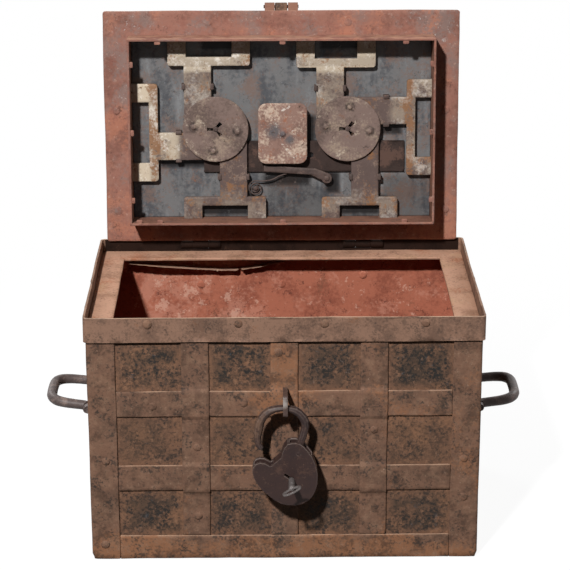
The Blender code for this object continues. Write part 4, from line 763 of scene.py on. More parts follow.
for node, (axis, outward) in WALLS.items():
    bm = forged(node, cell=0.010, chamfer=0.0004, dent=0.0004, warp=0.0009, reshape=pressed)
    panel = bm.verts.layers.float.new("panel")
    for vert in bm.verts:
        vert[panel] = panel_depth(vert.co[1 - axis], vert.co.z, UPRIGHTS[axis])
    spotted(bm, "flaked", FLAKED)
    for face in bm.faces:
        face.material_index = int(face.normal[axis]*outward < OUTSIDE)
    finished(bm, node, [sheet_iron, inner_paint])
bare("bottom_plate", inner_paint)
print("walls made", len(WALLS))

# %% [markdown]
# The straps lie on the sheets and are all of one stock. The corner irons wrap round the edges of the
# box, and their lower ends are worn round. Orange rust blooms where water stood: along the foot, and
# round the staple in the middle of the front.

# %% Straps and corners
STRAPS = [f"front_{name}_strap" for name in ("foot", "lower", "upper", "left", "centre", "right")]
STRAPS += [f"{name}_strap_lattice" for name in ("left", "right", "back")]
STRAPS += [f"{end}_{side}_corner" for end in ("front", "back") for side in ("left", "right")]
BLOOM = [((0.0, -0.185, 0.285), 0.075), ((-0.02, -0.185, 0.235), 0.06)]
BLOOM += [((x/100, -0.185, 0.004), 0.045) for x in range(-26, 27, 4)]
for node in STRAPS:
    bm = forged(node, cell=0.008, chamfer=0.0008, dent=0.00035, warp=0.0009, reshape=pressed)
    spotted(bm, "bloom", BLOOM)
    finished(bm, node, [strap_iron])
print("straps made", len(STRAPS))

# %% [markdown]
# The hinge leaves are riveted to the back, and the lid turns on pins in their knuckles. Rust has filled
# the play, so the points round the axis move out a little before the forging. The lid's hinge straps
# use the same rule for the knuckle between. Modelling the rust itself would show no more than this.

# %% Hinge leaves
HINGE_MIDDLE, KNUCKLE_REACH, KNUCKLE_GROWTH, KNUCKLE_PLAY = 0.127, 0.0075, 1.12, 0.0002
LID_KNUCKLE, LEAF_KNUCKLE = (0.0120, 0.01229), (0.0126, 0.01231)     # half widths, packed and rusted
LEAF_END = (0.0300, 0.03095)


def swollen(point):
    """Knuckle points moved out a little, because rust has filled the play of the hinge."""
    axis = Vector((point.x, LID_HINGE.y, LID_HINGE.z))
    away = point - axis
    if away.length > KNUCKLE_REACH:
        return pressed(point)
    middle = math.copysign(HINGE_MIDDLE, point.x)
    side = point.x - middle
    for packed, rusted in (LID_KNUCKLE, LEAF_KNUCKLE, LEAF_END):
        if abs(abs(side) - packed) < KNUCKLE_PLAY:
            side = math.copysign(rusted, side)
    return Vector((middle + side, axis.y, axis.z)) + away*KNUCKLE_GROWTH


for node in ("hinge_leaf_left", "hinge_leaf_right"):
    bm = forged(node, cell=0.008, chamfer=0.0004, dent=0.0001, reshape=swollen)
    # The hinge leaves take the near-black painted shade.
    finished(bm, node, [hinge_shade_iron])
print("hinge leaves made")

# %% [markdown]
# The rim is a flat ledge for the closed lid, with a band standing round it. The ledge is worn to tan.
# The band's upper edge gets a painted highlight, full along the front and back and weaker at the sides, and
# the inner side of its back gets the hinges' near-black painted shade, so each face of the band picks its
# finish by its place.

# %% Rim
BAND_SIDE, SIDE_HIGHLIGHT = 0.2812, 0.25
SHADE_FROM_Y, SHADE_HALF = 0.180, 0.275
bm = forged("rim_band", cell=0.008, chamfer=0.0008, dent=0.0004, warp=0.0011, reshape=pressed)
painted_highlight = bm.faces.layers.float["painted_highlight"]
for face in bm.faces:
    middle = face.calc_center_median()
    face[painted_highlight] *= SIDE_HIGHLIGHT if abs(middle.x) > BAND_SIDE else 1.0
    # Faces inside the band's back take the near-black painted shade.
    face.material_index = int(middle.y > SHADE_FROM_Y and abs(middle.x) < SHADE_HALF and face.normal.y < 0.5)
finished(bm, "rim_band", [band_iron, hinge_shade_iron])
bm = forged("rim_flange", cell=0.008, chamfer=0.0008, dent=0.0003, warp=0.0009)
finished(bm, "rim_flange", [flange_iron])
print("rim made")

# %% [markdown]
# ## Lid
#
# The lid is one sheet with a border that shows round the lock. Inside it is painted, outside it is
# browned like the box. Worn spots and orange bloom are set where hands and damp reached its border.

# %% Lid sheet
SCUFFS = [(-0.219, 0.336, 0.030), (0.236, 0.335, 0.055), (-0.25, 0.31, 0.05), (-0.235, 0.225, 0.025)]
LID_BLOOM = [(0.13, 0.345, 0.06), (-0.245, 0.045, 0.07), (-0.248, 0.185, 0.05), (0.252, 0.035, 0.08)]
bm = forged("lid_plate", cell=0.008, chamfer=0.0008, dent=0.0004, warp=0.0008, reshape=pressed)
for field, marks in (("scuff", SCUFFS), ("bloom", LID_BLOOM)):
    spotted(bm, field, [(on_lid(x, reach, 0.0), radius) for x, reach, radius in marks])
for face in bm.faces:
    face.material_index = int(face.normal.y > OUTSIDE)
finished(bm, "lid_plate", [lid_paint, sheet_iron])
print("lid sheet made")

# %% [markdown]
# Straps cross the lid's outside as they do the box's. Where they turn over the front edge they show
# the red-brown paint, and round the hinge they take the near-black painted shade, so three finishes share
# each strap.

# %% Lid straps
LID_STRAPS = [f"lid_{name}_strap" for name in ("left", "right", "back_cross", "front_cross")]
LID_STRAPS += ["lid_hinge_strap_left", "lid_hinge_strap_right", "lid_hasp_strap"]
LID_TIP, LID_HEEL = 0.352, 0.012
for node in LID_STRAPS:
    rule = swollen if "hinge" in node else pressed
    bm = forged(node, cell=0.009, chamfer=0.0007, dent=0.0003, warp=0.0008, reshape=rule)
    for face in bm.faces:
        reach = lid_place(face.calc_center_median())[0]
        face.material_index = 1 if reach > LID_TIP else 2 if reach < LID_HEEL else 0
    finished(bm, node, [strap_iron, frame_iron, hinge_shade_iron])
print("lid straps made", len(LID_STRAPS))

# %% [markdown]
# ## Lock
#
# The lock sits in a shallow iron frame. Its moving pieces slide in tight guides, so they get small
# chamfers and shallow dents and no warp. Guides and posts that stand on the plate are dark like the
# other works, so faces well above the plate get the second finish. Painted shade lies black on the plate
# under and beside the works, in boxes given by x and reach, and fades out over a few millimetres. Two wider
# patches get about a third of it, one of them the shade under the lever.

# %% Frame
ROTOR_X, ROTOR_REACH = 0.1015, 0.1783
bm = forged("lock_frame", cell=0.008, chamfer=0.0006, dent=0.00025)
core = on_lid(0, ROTOR_REACH, 0.0)
for face in bm.faces:
    away = face.calc_center_median() - core
    sideways = away - LID_OUT*away.dot(LID_OUT)
    face.material_index = int(face.normal.dot(LID_OUT) < 0.5 and face.normal.dot(sideways) < 0)
finished(bm, "lock_frame", [lid_paint, frame_iron])
print("frame made")

# %% Plate and its painted shade
SHADE_BOXES = ((-0.1224, -0.053, 0.0435, 0.0575), (0.089, 0.1505, 0.0435, 0.0575), (-0.026, 0.042, 0.09, 0.107),
          (0.07, 0.087, 0.078, 0.106), (0.036, 0.05, 0.125, 0.195), (0.154, 0.183, 0.17, 0.184),
          (-0.185, -0.1, 0.119, 0.127), (-0.053, -0.036, 0.113, 0.155), (-0.12, -0.076, 0.302, 0.33),
          (0.062, 0.121, 0.302, 0.33), (-0.052, -0.044, 0.045, 0.075), (0.154, 0.163, 0.045, 0.07))
DARKER_PATCHES = ((0.160, 0.225, 0.040, 0.100), (-0.020, 0.070, 0.040, 0.085))
PATCH_SHARE, DARKENING_FADE, WORKS_RISE = 0.35, 0.005, 0.0031
# Painted shade: full in the boxes, about a third in the two patches.
darkened_places = [(*stain, 1.0) for stain in SHADE_BOXES] + [(*film, PATCH_SHARE) for film in DARKER_PATCHES]
bm = forged("lock_plate", cell=0.004, chamfer=0.0004, dent=0.00020)
dirt_and_painted_shade = bm.verts.layers.float.new("dirt_and_painted_shade")
for vert in bm.verts:
    reach, rise = lid_place(vert.co)
    for left, right, low, high, most in darkened_places:
        outside = math.hypot(max(left - vert.co.x, vert.co.x - right, 0), max(low - reach, reach - high, 0))
        vert[dirt_and_painted_shade] = max(vert[dirt_and_painted_shade], most*(1 - outside/DARKENING_FADE))
for face in bm.faces:
    face.material_index = int(lid_place(face.calc_center_median())[1] > WORKS_RISE)
finished(bm, "lock_plate", [plate_steel, works_iron])
print("plate made, grease places", len(darkened_places))

# %% [markdown]
# Each rotor is a disc with a star hole in its middle and the heads of the pins that drive the bolts.
# Use has worn the star's arms longer and wider, the pin heads are smaller than the imported ones, and a
# dark ring of painted shade lies round each.

# %% Rotors
ROTOR_TOP, PIN_CIRCLE, FIRST_PIN = 0.0184, 0.034, 174
NO_PIN = ((-1, 3), (1, 1))                                  # a side and the quarter without a pin
PIN_REACH, PIN_SHARE, PIN_FOOT = 0.0066, 0.82, -0.0002
RING, RING_WIDTH = 0.0058, 0.0024
STAR_REACH, STAR_WEAR = (0.0046, 0.0125), (1.22, 1.75)     # how much longer and wider an arm is worn
STAR_TURNS = [math.radians(angle) for angle in (50, 180, 310)]
STAR_WAYS = [Vector((math.cos(turn), 0, 0)) + LID_UP*math.sin(turn) for turn in STAR_TURNS]


def ringed(bm, centres):
    """Point values that are 1 on a ring round each centre and 0 a little away from it."""
    dirt_and_painted_shade = bm.verts.layers.float.new("dirt_and_painted_shade")
    for vert in bm.verts:
        off = min(abs((vert.co - centre).length - RING) for centre in centres)
        vert[dirt_and_painted_shade] = max(0.0, 1.0 - off/RING_WIDTH)


def rotor(node, side):
    """One rotor, with its star hole worn and painted shade round its pins."""
    middle = on_lid(side*ROTOR_X, ROTOR_REACH, 0.0)
    turns = [math.radians(FIRST_PIN + 90*quarter) for quarter in range(4) if (side, quarter) not in NO_PIN]
    pins = [on_lid(side*ROTOR_X + PIN_CIRCLE*math.cos(turn), ROTOR_REACH + PIN_CIRCLE*math.sin(turn),
                   ROTOR_TOP) for turn in turns]

    def used(point):
        """A point of a pin head, drawn in, or of the star hole, moved out from its arm's middle line."""
        for pin in pins:
            height = (point - pin).dot(LID_OUT)
            aside = point - pin - LID_OUT*height
            if aside.length < PIN_REACH and height > PIN_FOOT:
                return point - aside*(1 - PIN_SHARE)
        away = point - middle
        flat = away - LID_OUT*away.dot(LID_OUT)
        if not STAR_REACH[0] < flat.length < STAR_REACH[1]:
            return point
        arm = max(STAR_WAYS, key=flat.dot)
        along = arm*flat.dot(arm)
        return point + along*(STAR_WEAR[0] - 1) + (flat - along)*(STAR_WEAR[1] - 1)

    bm = forged(node, cell=0.0032, chamfer=0.0006, dent=0.00020, reshape=used)
    # A ring of painted shade round each pin head.
    ringed(bm, pins)
    finished(bm, node, [rotor_iron])
    print(node, len(pins), "pins")


rotor("left_rotor", -1)
rotor("right_rotor", 1)

# %% [markdown]
# The cover hides the keyhole. Thumbs kept it bright, and grey dirt stayed round its post, which three
# spots of the same attribute give. The bar and the lever are plain forged pieces, and the bar is brown
# at one place.

# %% Cover, bar and lever
THUMBED = [(on_lid(-0.012, 0.176, 0.023), 0.016), (on_lid(0.012, 0.163, 0.023), 0.010),
           (on_lid(0.0015, 0.172, 0.025), 0.010)]
BAR_BROWN_PLACE = [(on_lid(0.168, 0.136, 0.008), 0.030)]
bm = forged("key_cover", cell=0.004, chamfer=0.0007, dent=0.00025)
spotted(bm, "dirt_and_painted_shade", THUMBED)
finished(bm, "key_cover", [cover_iron])
bm = forged("drive_bar", cell=0.005, chamfer=0.0004, dent=0.00015)
spotted(bm, "bright", BAR_BROWN_PLACE)
finished(bm, "drive_bar", [bar_iron])
bm = forged("catch_lever", cell=0.005, chamfer=0.0004, dent=0.00015)
finished(bm, "catch_lever", [works_iron])
print("cover, bar and lever made")

# %% [markdown]
# A bolt's heads and cross bar are bright and its stem is dark. How far a point lies behind the bolt's
# outer end decides that, measured along the way the bolt slides. The side bolts stay bright longest, and
# the two at the hinge are the dirtiest. Under the rotors' middles, where the star holes show them, they
# are painted black as shade. The back corners of each fork were filed round.

# %% Bolts
# For each bolt: the way it slides, where its bright part ends, how bright that is, and its stem's share.
BOLTS = {"front_left_bolt": (LID_UP, 0.054, 1.0, 0.35), "front_right_bolt": (LID_UP, 0.056, 1.0, 0.40),
         "back_left_bolt": (-LID_UP, 0.044, 0.24, 0.0), "back_right_bolt": (-LID_UP, 0.046, 0.26, 0.0),
         "left_bolt": (Vector((-1, 0, 0)), 0.074, 1.0, 0.0),
         "right_bolt": (Vector((1, 0, 0)), 0.064, 0.42, 0.0)}
HEAD_END, BAR_END, BAR_SHARE, STEM_GAIN, FADE = 0.028, 0.045, 0.62, 0.2, 0.010
FORK_DEPTH, FORK_END, FILED = 0.012, 0.050, 0.0045
CORNER_PLAY, UPRIGHT = 0.001, 0.95
# Painted shade on the bolts where the rotors' star holes show them.
STAR_HOLE_SHADE = [(on_lid(side*ROTOR_X, ROTOR_REACH, 0.011), 0.020) for side in SIDES]


def bolt(node, outward, bright_end, most, stem):
    """One bolt, with filed corners, a bright head and a dark stem."""
    across = outward.cross(LID_OUT)
    points = [vert.co for vert in nodes[node].data.vertices]
    tip = max(point.dot(outward) for point in points)
    low, high = (choose(point.dot(across) for point in points) for choose in (min, max))

    def fork_corner(edge):
        """Whether an edge is an outer corner at the back of the fork."""
        a, b = (vert.co for vert in edge.verts)
        aside = min(a.dot(across) - low, high - a.dot(across))
        upright = abs((a - b).normalized().dot(LID_OUT)) > UPRIGHT
        return upright and aside < CORNER_PLAY and HEAD_END - FORK_DEPTH < tip - a.dot(outward) < FORK_END

    bm = forged(node, cell=0.005, chamfer=0.0006, dent=0.00020, corner=fork_corner, radius=FILED)
    bright = bm.verts.layers.float.new("bright")
    rust = bm.verts.layers.float.new("rust")
    for vert in bm.verts:
        behind = tip - vert.co.dot(outward)
        fade = max(stem, min(1.0, (bright_end - behind)/FADE + 0.5))
        vert[bright] = most*fade*(1.0 if behind < HEAD_END else BAR_SHARE + STEM_GAIN*(behind > BAR_END))
        vert[rust] = float(HEAD_END < behind < BAR_END and abs(outward.x) > 0.5)
    spotted(bm, "dirt_and_painted_shade", STAR_HOLE_SHADE)
    finished(bm, node, [bolt_iron])


for node, look in BOLTS.items():
    bolt(node, *look)
print("bolts made", len(BOLTS))

# %% [markdown]
# ## Round pieces
#
# Padlock, shackle, key, staple and hasp were forged hot and then rubbed round by use. A voxel
# remesh turns their facets into an even skin, and a little smoothing wears the corners. Bevels alone
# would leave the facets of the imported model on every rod.

# %% The skin of a round piece
RUB_SHARPEST, HIGHLIGHT_BASE, UPPER_HIGHLIGHT_LIFT = 0.30, 0.35, 0.9


def plain_mesh(piece):
    """What an object's modifiers or curve make, as a plain mesh."""
    return bpy.data.meshes.new_from_object(piece.evaluated_get(bpy.context.evaluated_depsgraph_get()))


def worn_and_highlit_edges(bm):
    """Point values for worn rims with a painted highlight: they rise to 1 where the skin turns over an edge,
    from the neighbours' lean, and most on upper edges.
    """
    field = bm.verts.layers.float.new("worn_and_highlit_edges")
    bm.normal_update()
    for vert in bm.verts:
        spokes = [(edge.other_vert(vert).co - vert.co).normalized() for edge in vert.link_edges]
        lean = -sum(spoke.dot(vert.normal) for spoke in spokes)/max(1, len(spokes))
        vert[field] = unit(lean/RUB_SHARPEST)*unit(HIGHLIGHT_BASE + UPPER_HIGHLIGHT_LIFT*vert.normal.z)


def worn(node, material, voxel, rounds, dent, reshape=None, spots=None, cuts=()):
    """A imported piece, reshaped first if asked, with an even, slightly rounded and dented skin.

    Cuts are depths at which new points let the reshape make a step.
    """
    bm = merged_copy(node)
    for depth in cuts:
        sliced(bm, (0, depth, 0), (0, 1, 0))
    reshaped(bm, reshape)
    rough = stand("rough", mesh_of(bm, "rough"))
    skin = rough.modifiers.new("skin", "REMESH")
    skin.mode = "VOXEL"
    skin.voxel_size = voxel
    soft = rough.modifiers.new("soft", "SMOOTH")
    soft.factor = 0.5
    soft.iterations = rounds
    bm = bmesh.new()
    bm.from_mesh(plain_mesh(rough))
    bpy.data.objects.remove(rough)
    worn_and_highlit_edges(bm)
    if spots:
        spotted(bm, "bright", spots)
    hammered(bm, dent)
    print(node, len(finished(bm, node, [material]).data.polygons), "faces")


# %% [markdown]
# The padlock hangs open by its shackle. The shackle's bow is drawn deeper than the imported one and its
# sides are hammered wider, while its crown and its ends keep their width, because they turn in the
# staple and in the padlock.

# %% Padlock and shackle
PADLOCK_PLANE, BOW_DEPTH, BOW_START, BOW_FULL = -0.213, 1.5, 0.214, 0.230
BOW_MIDDLE, BOW_RADIUS, BOW_WIDTH, BOW_SPREAD = (-0.003, 0.2136), 0.032, 0.20, 0.0016
CROWN_HALF, TOE_DROP, SIDE_RAMP = 0.008, 0.014, 0.012
# The shackle's left side is lighter brown: partly rust, partly a painted highlight where the light falls on
# it.
SHACKLE_RUST_AND_HIGHLIGHT = [((-0.034, -0.218, 0.222), 0.034)]


def deepened(point):
    """The shackle's bow, drawn deeper, with its sides hammered wider."""
    depth = (point.y - PADLOCK_PLANE)*(1 + (BOW_DEPTH - 1)*unit((point.z - BOW_START)/(BOW_FULL - BOW_START)))
    away = Vector((point.x - BOW_MIDDLE[0], 0, point.z - BOW_MIDDLE[1]))
    low = BOW_START if away.x > 0 else BOW_START - TOE_DROP
    side = unit((point.z - low)/SIDE_RAMP)*unit((abs(away.x) - CROWN_HALF)/SIDE_RAMP)
    grown = 1 + side*((away.length - BOW_RADIUS)*BOW_WIDTH + BOW_SPREAD)/away.length
    return Vector((BOW_MIDDLE[0] + away.x*grown, PADLOCK_PLANE + depth, BOW_MIDDLE[1] + away.z*grown))


worn("padlock_body", padlock_iron, voxel=0.0009, rounds=2, dent=0.0003)
worn("padlock_shackle", padlock_iron, voxel=0.0009, rounds=2, dent=0.0002, reshape=deepened,
     spots=SHACKLE_RUST_AND_HIGHLIGHT)

# %% [markdown]
# The padlock's key stands in its keyhole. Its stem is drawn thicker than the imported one, so the mesh is
# first cut at three depths. Moving the points between them then makes a step instead of a cone.

# %% Padlock key
KEY_X, KEY_Z, KEY_REACH, KEY_THICKER = 0.0093, 0.1414, 0.0036, 1.45
KEY_SHOWN, KEY_STEM, KEY_STEP, KEY_PLAY = -0.2275, 0.028, 0.0005, 0.0001


def thick_stem(point):
    """The key's stem, thicker where it stands out of the padlock."""
    shown = KEY_SHOWN - KEY_STEM - KEY_PLAY < point.y < KEY_SHOWN + KEY_PLAY
    if not shown or math.hypot(point.x - KEY_X, point.z - KEY_Z) > KEY_REACH:
        return point
    return Vector((KEY_X + (point.x - KEY_X)*KEY_THICKER, point.y, KEY_Z + (point.z - KEY_Z)*KEY_THICKER))


worn("padlock_key", key_iron, voxel=0.0005, rounds=1, dent=0.0001, reshape=thick_stem,
     cuts=(KEY_SHOWN, KEY_SHOWN + KEY_STEP, KEY_SHOWN - KEY_STEM))

# %% [markdown]
# The staple takes the hasp and the padlock's shackle. Years of pulling bent its upper leg down, and a
# highlight is painted on its nose. The hasp hangs from the lid's edge and is only rounded.

# %% Staple and hasp
STAPLE_FOOT, STAPLE_SHARE = 0.2348, 0.92
STAPLE_HIGHLIGHT = [((-0.002, -0.225, 0.257), 0.009)]


def bent_down(point):
    """The staple's upper leg, bent down towards the lower one by years of pulling."""
    lift = max(0.0, point.z - STAPLE_FOOT)
    return Vector((point.x, point.y, point.z - lift*(1 - STAPLE_SHARE)))


worn("staple", staple_iron, voxel=0.0006, rounds=8, dent=0.0001, reshape=bent_down,
     spots=STAPLE_HIGHLIGHT)
worn("hasp", strap_iron, voxel=0.0011, rounds=3, dent=0.0002)

# %% [markdown]
# A rivet holds the shackle in the padlock and fills its hole. The pins of the hasp and the hinges are
# hardly seen, so the imported ones are shown as they are, with the near-black finish of painted shade.

# %% Padlock rivet and pins
RIVET_X, RIVET_Z, RIVET_SPREAD = 0.0195, 0.181, 1.4


def spread(point):
    """The padlock's rivet, hammered out until it fills its hole."""
    x, z = point.x - RIVET_X, point.z - RIVET_Z
    return Vector((RIVET_X + x*RIVET_SPREAD, point.y, RIVET_Z + z*RIVET_SPREAD))


bm = forged("padlock_rivet", cell=0.004, chamfer=0.0003, dent=0.0, reshape=spread)
finished(bm, "padlock_rivet", [padlock_iron])
PINS = ("hasp_pin", "hinge_pin_left", "hinge_pin_right")
for node in PINS:
    bare(node, hinge_shade_iron)
print("pins", len(PINS))

# %% [markdown]
# ## Drawn rods
#
# The handles were bent from round bar and the spring from wire. A curve with a round section is the
# plain way to draw both: points on the middle line, each with its own thickness. The handle's ends are
# thinner where they turn in the eyes, and its grip is a little swollen.

# %% A smooth line through points
def smooth_line(points, steps):
    """A line through all the points, bent evenly, with this many steps from each to the next."""
    ends = [points[0], *points, points[-1]]
    line = []
    for a, b, c, d in zip(ends, ends[1:], ends[2:], ends[3:]):
        for step in range(steps):
            t = step/steps
            line.append(tuple(0.5*(2*q + (r - p)*t + (2*p - 5*q + 4*r - s)*t**2 + (3*q - p - 3*r + s)*t**3)
                              for p, q, r, s in zip(a, b, c, d)))
    return line + [points[-1]]


# %% A rod along a line
def rod(path, radii):
    """A closed round rod along points, with a radius at each."""
    curve = bpy.data.curves.new("rod", "CURVE")
    curve.dimensions = "3D"
    curve.bevel_depth = 1.0
    curve.bevel_resolution = 4
    curve.use_fill_caps = True
    line = curve.splines.new("POLY")
    line.points.add(len(path) - 1)
    for point, place, radius in zip(line.points, path, radii):
        point.co = (*place, 1.0)
        point.radius = radius
    drawn = stand("rod", curve)
    bm = bmesh.new()
    bm.from_mesh(plain_mesh(drawn))
    bpy.data.objects.remove(drawn)
    bmesh.ops.remove_doubles(bm, verts=bm.verts, dist=1e-6)
    bmesh.ops.recalc_face_normals(bm, faces=bm.faces)
    return bm


# %% Handles and their eyes
SWING_X, SWING_Z, HANDLE_TILT = 0.291, 0.1875, math.radians(6.5)
HANDLE_HALF = ((0.0, 0.0690), (0.0, 0.0580), (0.0015, 0.0540), (0.0060, 0.0518), (0.020, 0.0508),
               (0.034, 0.0492), (0.0462, 0.0440), (0.0535, 0.0335), (0.0560, 0.0180))     # out and along
ROD, NECK, NECK_END = 0.0072, 0.0041, 0.0012
GRIP, GRIP_START, GRIP_RAMP = 0.0078, 0.02, 0.03
EYE_NOSE, EYE_SHARE = 0.0098, 0.68


def handle(name, side):
    """One handle with its two eyes."""
    other_half = [(out, -along) for out, along in reversed(HANDLE_HALF)]
    flat = smooth_line([*HANDLE_HALF, *other_half], steps=6)
    path = [(side*(SWING_X + out*math.cos(HANDLE_TILT)), along, SWING_Z + out*math.sin(HANDLE_TILT))
            for out, along in flat]
    radii = [NECK if out < NECK_END else ROD + (GRIP - ROD)*unit((out - GRIP_START)/GRIP_RAMP)
             for out, along in flat]
    bm = rod(path, radii)
    hammered(bm, dent=0.0004)
    finished(bm, f"{name}_handle", [handle_iron])
    axis = Vector((side*SWING_X, 0, SWING_Z))

    def slimmed(point):
        """The eye's nose, worn slimmer round the handle's end."""
        away = Vector((point.x - axis.x, 0, point.z - axis.z))
        return point - away*(1 - EYE_SHARE) if away.length < EYE_NOSE else point

    for end in ("front", "back"):
        worn(f"{name}_{end}_handle_eye", handle_iron, voxel=0.0008, rounds=4, dent=0.0002,
             reshape=slimmed)


handle("left", -1)
handle("right", 1)

# %% [markdown]
# ## Lever spring
#
# The catch lever is held by a flat coil of iron wire with a wavy arm. The coil's points follow from its
# turns and radii, and the arm's few points are joined by a smooth line through each of them.

# %% Spring
COIL_X, COIL_REACH, COIL_TURNS, COIL_END, COIL_STEPS = -0.0406, 0.0850, 2.0, math.radians(75), 100
COIL_INNER, COIL_OUTER, WIRE, SPRING_RISE = 0.0040, 0.0115, 0.0010, 0.0095
ARM = ((0.25, -0.0028), (0.5, -0.0035), (0.75, -0.0008), (1.0, 0.0))     # share of the way, and its wave
ARM_TOE = (0.008, 0.1075)
coil = []
for step in range(COIL_STEPS + 1):
    share = step/COIL_STEPS
    turn = COIL_END + 2*math.pi*COIL_TURNS*(1 - share)
    radius = COIL_INNER + (COIL_OUTER - COIL_INNER)*share
    coil.append((COIL_X + radius*math.cos(turn), COIL_REACH + radius*math.sin(turn)))
leave = coil[-1]
arm = [(leave[0] + (ARM_TOE[0] - leave[0])*share, leave[1] + (ARM_TOE[1] - leave[1])*share + wave)
       for share, wave in ARM]
path = [on_lid(x, reach, SPRING_RISE) for x, reach in coil[:-1] + smooth_line([leave, *arm], steps=8)]
finished(rod(path, [WIRE]*len(path)), "lever_spring", [works_iron])
print("spring points", len(path))

# %% [markdown]
# ## Torn lining
#
# A strip of the old lining has come loose under the back of the flange. It hangs in a shallow curve,
# torn nearly through at its lowest place, with a few threads below. A grid of points is laid along the
# curve, the front edge is frayed by a noise, and the sheet gets its small thickness last.

# %% Lining strip
SAG = ((-0.238, 0.0065), (-0.169, 0.0140), (-0.117, 0.0195), (-0.066, 0.0205), (0.002, 0.008), (0.020, 0.001))
FLANGE_UNDERSIDE, BACK_EDGE, CLOTH, ACROSS = 0.3482, 0.1784, 0.0005, 12
STRIP_WIDTH, EDGE_LOSS, LEFT_WIDER, LEFT_START, LEFT_RAMP = 0.016, 0.0018, 0.010, -0.110, 0.08
TEAR_X, TEAR_HALF, TEAR_DEPTH = -0.066, 0.004, 0.010
THREADS_X, THREADS_HALF, THREADS_DROP, THREADS_START = -0.098, 0.010, 0.006, 0.7
FRAYS = ((0.0016, 0.004, 0), (0.0010, 0.011, 3))           # depth, length and place in the noise
CREASE, CREASE_LENGTH, THREAD_LENGTH = 0.0005, 0.020, 0.0025
bm = bmesh.new()
rows = []
for x, drop in smooth_line(SAG, steps=28):
    frayed = sum(depth*noise.noise(Vector((x/length, at, 0))) for depth, length, at in FRAYS)
    torn = TEAR_DEPTH*max(0.0, 1.0 - abs(x - TEAR_X)/TEAR_HALF)
    width = STRIP_WIDTH - EDGE_LOSS + frayed - torn + LEFT_WIDER*unit((LEFT_START - x)/LEFT_RAMP)
    threads = THREADS_DROP*max(0.0, 1.0 - abs(x - THREADS_X)/THREADS_HALF)
    threads *= max(0.0, noise.noise(Vector((x/THREAD_LENGTH, 9, 0))))
    row = []
    for step in range(ACROSS + 1):
        share = step/ACROSS
        crease = CREASE*noise.noise(Vector((x/CREASE_LENGTH, share*2, 5)))
        droop = threads*max(0.0, share - THREADS_START)/(1 - THREADS_START)
        row.append(bm.verts.new((x, BACK_EDGE - width*share, FLANGE_UNDERSIDE - drop + crease - droop)))
    rows.append(row)
for a, b in zip(rows, rows[1:]):
    for k in range(ACROSS):
        bm.faces.new((a[k], a[k + 1], b[k + 1], b[k]))
bmesh.ops.recalc_face_normals(bm, faces=bm.faces)
bmesh.ops.solidify(bm, geom=bm.faces[:], thickness=CLOTH)
bmesh.ops.recalc_face_normals(bm, faces=bm.faces)
strip = finished(bm, "torn_lining", [lining_cloth])
print("lining points", len(rows)*(ACROSS + 1))

# %% [markdown]
# ## Rivet heads
#
# Every strap is held by rivets that were hammered over by hand, so no two heads are quite alike. The
# same head repeated at many points is what Geometry Nodes does best: a low dome is dented once, then
# set on every point, turned to face outwards, spun and sized by chance with a fixed seed.

# %% The rivet tree and its inputs
heads = bpy.data.node_groups.new("hammered_rivet_heads", "GeometryNodeTree")
sockets = {}
for label, kind, value in (("Points", "NodeSocketGeometry", None), ("Head Radius", "NodeSocketFloat", 0.0057),
                           ("Head Height", "NodeSocketFloat", 0.0021), ("Dent", "NodeSocketFloat", 0.30),
                           ("Size Spread", "NodeSocketFloat", 0.12), ("Seed", "NodeSocketInt", 7),
                           ("Finish", "NodeSocketMaterial", None)):
    socket = heads.interface.new_socket(label, in_out="INPUT", socket_type=kind)
    if value is not None:
        socket.default_value = value
    sockets[label] = socket.identifier
heads.interface.new_socket("Heads", in_out="OUTPUT", socket_type="NodeSocketGeometry")
given = add(heads, "NodeGroupInput").outputs
print("rivet inputs", ", ".join(sockets))

# %% A dented dome
ball = add(heads, "GeometryNodeMeshIcoSphere", {"Radius": 1.0, "Subdivisions": 4})
lumps = add(heads, "ShaderNodeTexNoise", {"Scale": 1.3, "Detail": 1.0})
lift = add(heads, "ShaderNodeMath", {"operation": "SUBTRACT", 1: 0.5}, {0: lumps.outputs[0]})
lift = add(heads, "ShaderNodeMath", {"operation": "MULTIPLY"}, {0: lift.outputs[0], 1: given["Dent"]})
along = add(heads, "GeometryNodeInputNormal")
push = add(heads, "ShaderNodeVectorMath", {"operation": "SCALE"},
           {0: along.outputs[0], "Scale": lift.outputs[0]})
dented = add(heads, "GeometryNodeSetPosition", links={"Geometry": ball.outputs[0], "Offset": push.outputs[0]})
size = add(heads, "ShaderNodeCombineXYZ",
           links={0: given["Head Radius"], 1: given["Head Radius"], 2: given["Head Height"]})
dome = add(heads, "GeometryNodeTransform", links={"Geometry": dented.outputs[0], "Scale": size.outputs[0]})
dome = add(heads, "GeometryNodeSetShadeSmooth", links={"Geometry": dome.outputs[0]})
print("dome nodes", len(heads.nodes))

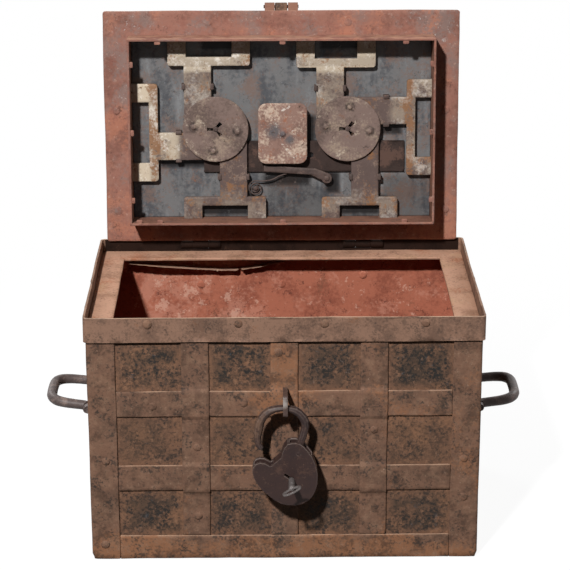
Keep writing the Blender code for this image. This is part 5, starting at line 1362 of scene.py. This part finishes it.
# %% Domes on the points
facing = add(heads, "GeometryNodeInputNamedAttribute", {"data_type": "FLOAT_VECTOR", "Name": "facing"})
aim = add(heads, "FunctionNodeAlignRotationToVector", {"axis": "Z"}, {"Vector": facing.outputs[0]})
turn = add(heads, "FunctionNodeRandomValue", {"data_type": "FLOAT", 2: 0.0, 3: 2*math.pi},
           {"Seed": given["Seed"]})
spin = add(heads, "FunctionNodeAxisAngleToRotation", {"Axis": (0, 0, 1)}, {"Angle": turn.outputs[1]})
aimed = add(heads, "FunctionNodeRotateRotation", {"rotation_space": "LOCAL"},
            {0: aim.outputs[0], 1: spin.outputs[0]})
most = add(heads, "ShaderNodeMath", {"operation": "ADD", 0: 1.0}, {1: given["Size Spread"]})
chance = add(heads, "FunctionNodeRandomValue", {"data_type": "FLOAT", 2: 1.0},
             {3: most.outputs[0], "Seed": given["Seed"]})
placed = add(heads, "GeometryNodeInstanceOnPoints",
             links={"Points": given["Points"], "Instance": dome.outputs[0], "Rotation": aimed.outputs[0],
                    "Scale": chance.outputs[1]})
plain = add(heads, "GeometryNodeRealizeInstances", links={"Geometry": placed.outputs[0]})
coated = add(heads, "GeometryNodeSetMaterial",
             links={"Geometry": plain.outputs[0], "Material": given["Finish"]})
add(heads, "NodeGroupOutput", links={0: coated.outputs[0]})
print("rivet tree", len(heads.nodes), "nodes")

# %% Rivet heads on their bodies
LOW_HEAD = {"Head Radius": 0.0056, "Head Height": 0.0012}
CLENCHED_HEAD = {"Head Height": 0.0018}


def riveted(name, points, carrier, inputs):
    """Heads made by the tree on these points, as one plain mesh that rides with the carrier."""
    mesh = bpy.data.meshes.new(name)
    mesh.from_pydata([place for place, facing in points], [], [])
    field = mesh.attributes.new("facing", "FLOAT_VECTOR", "POINT")
    for item, (place, facing) in zip(field.data, points):
        item.vector = facing
    piece = stand(name, mesh)
    change = piece.modifiers.new("heads", "NODES")
    change.node_group = heads
    for label, value in inputs.items():
        change[sockets[label]] = value
    made = plain_mesh(piece)
    piece.modifiers.remove(change)
    piece.data = made
    made.name = name
    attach(piece, body_of(nodes[carrier])[0])
    print(name, len(points), "heads,", len(made.polygons), "faces")


riveted("box_rivet_heads", box_points, "front_plate", {"Seed": 7, "Finish": strap_iron})
riveted("clenched_rivet_heads", clenched_points, "back_plate",
        {"Seed": 11, "Finish": inner_paint, **CLENCHED_HEAD})
riveted("lid_rivet_heads", lid_points, "lid_plate", {"Seed": 13, "Finish": strap_iron})
riveted("border_rivet_heads", border_points, "lid_plate",
        {"Seed": 17, "Finish": lid_paint, **LOW_HEAD})
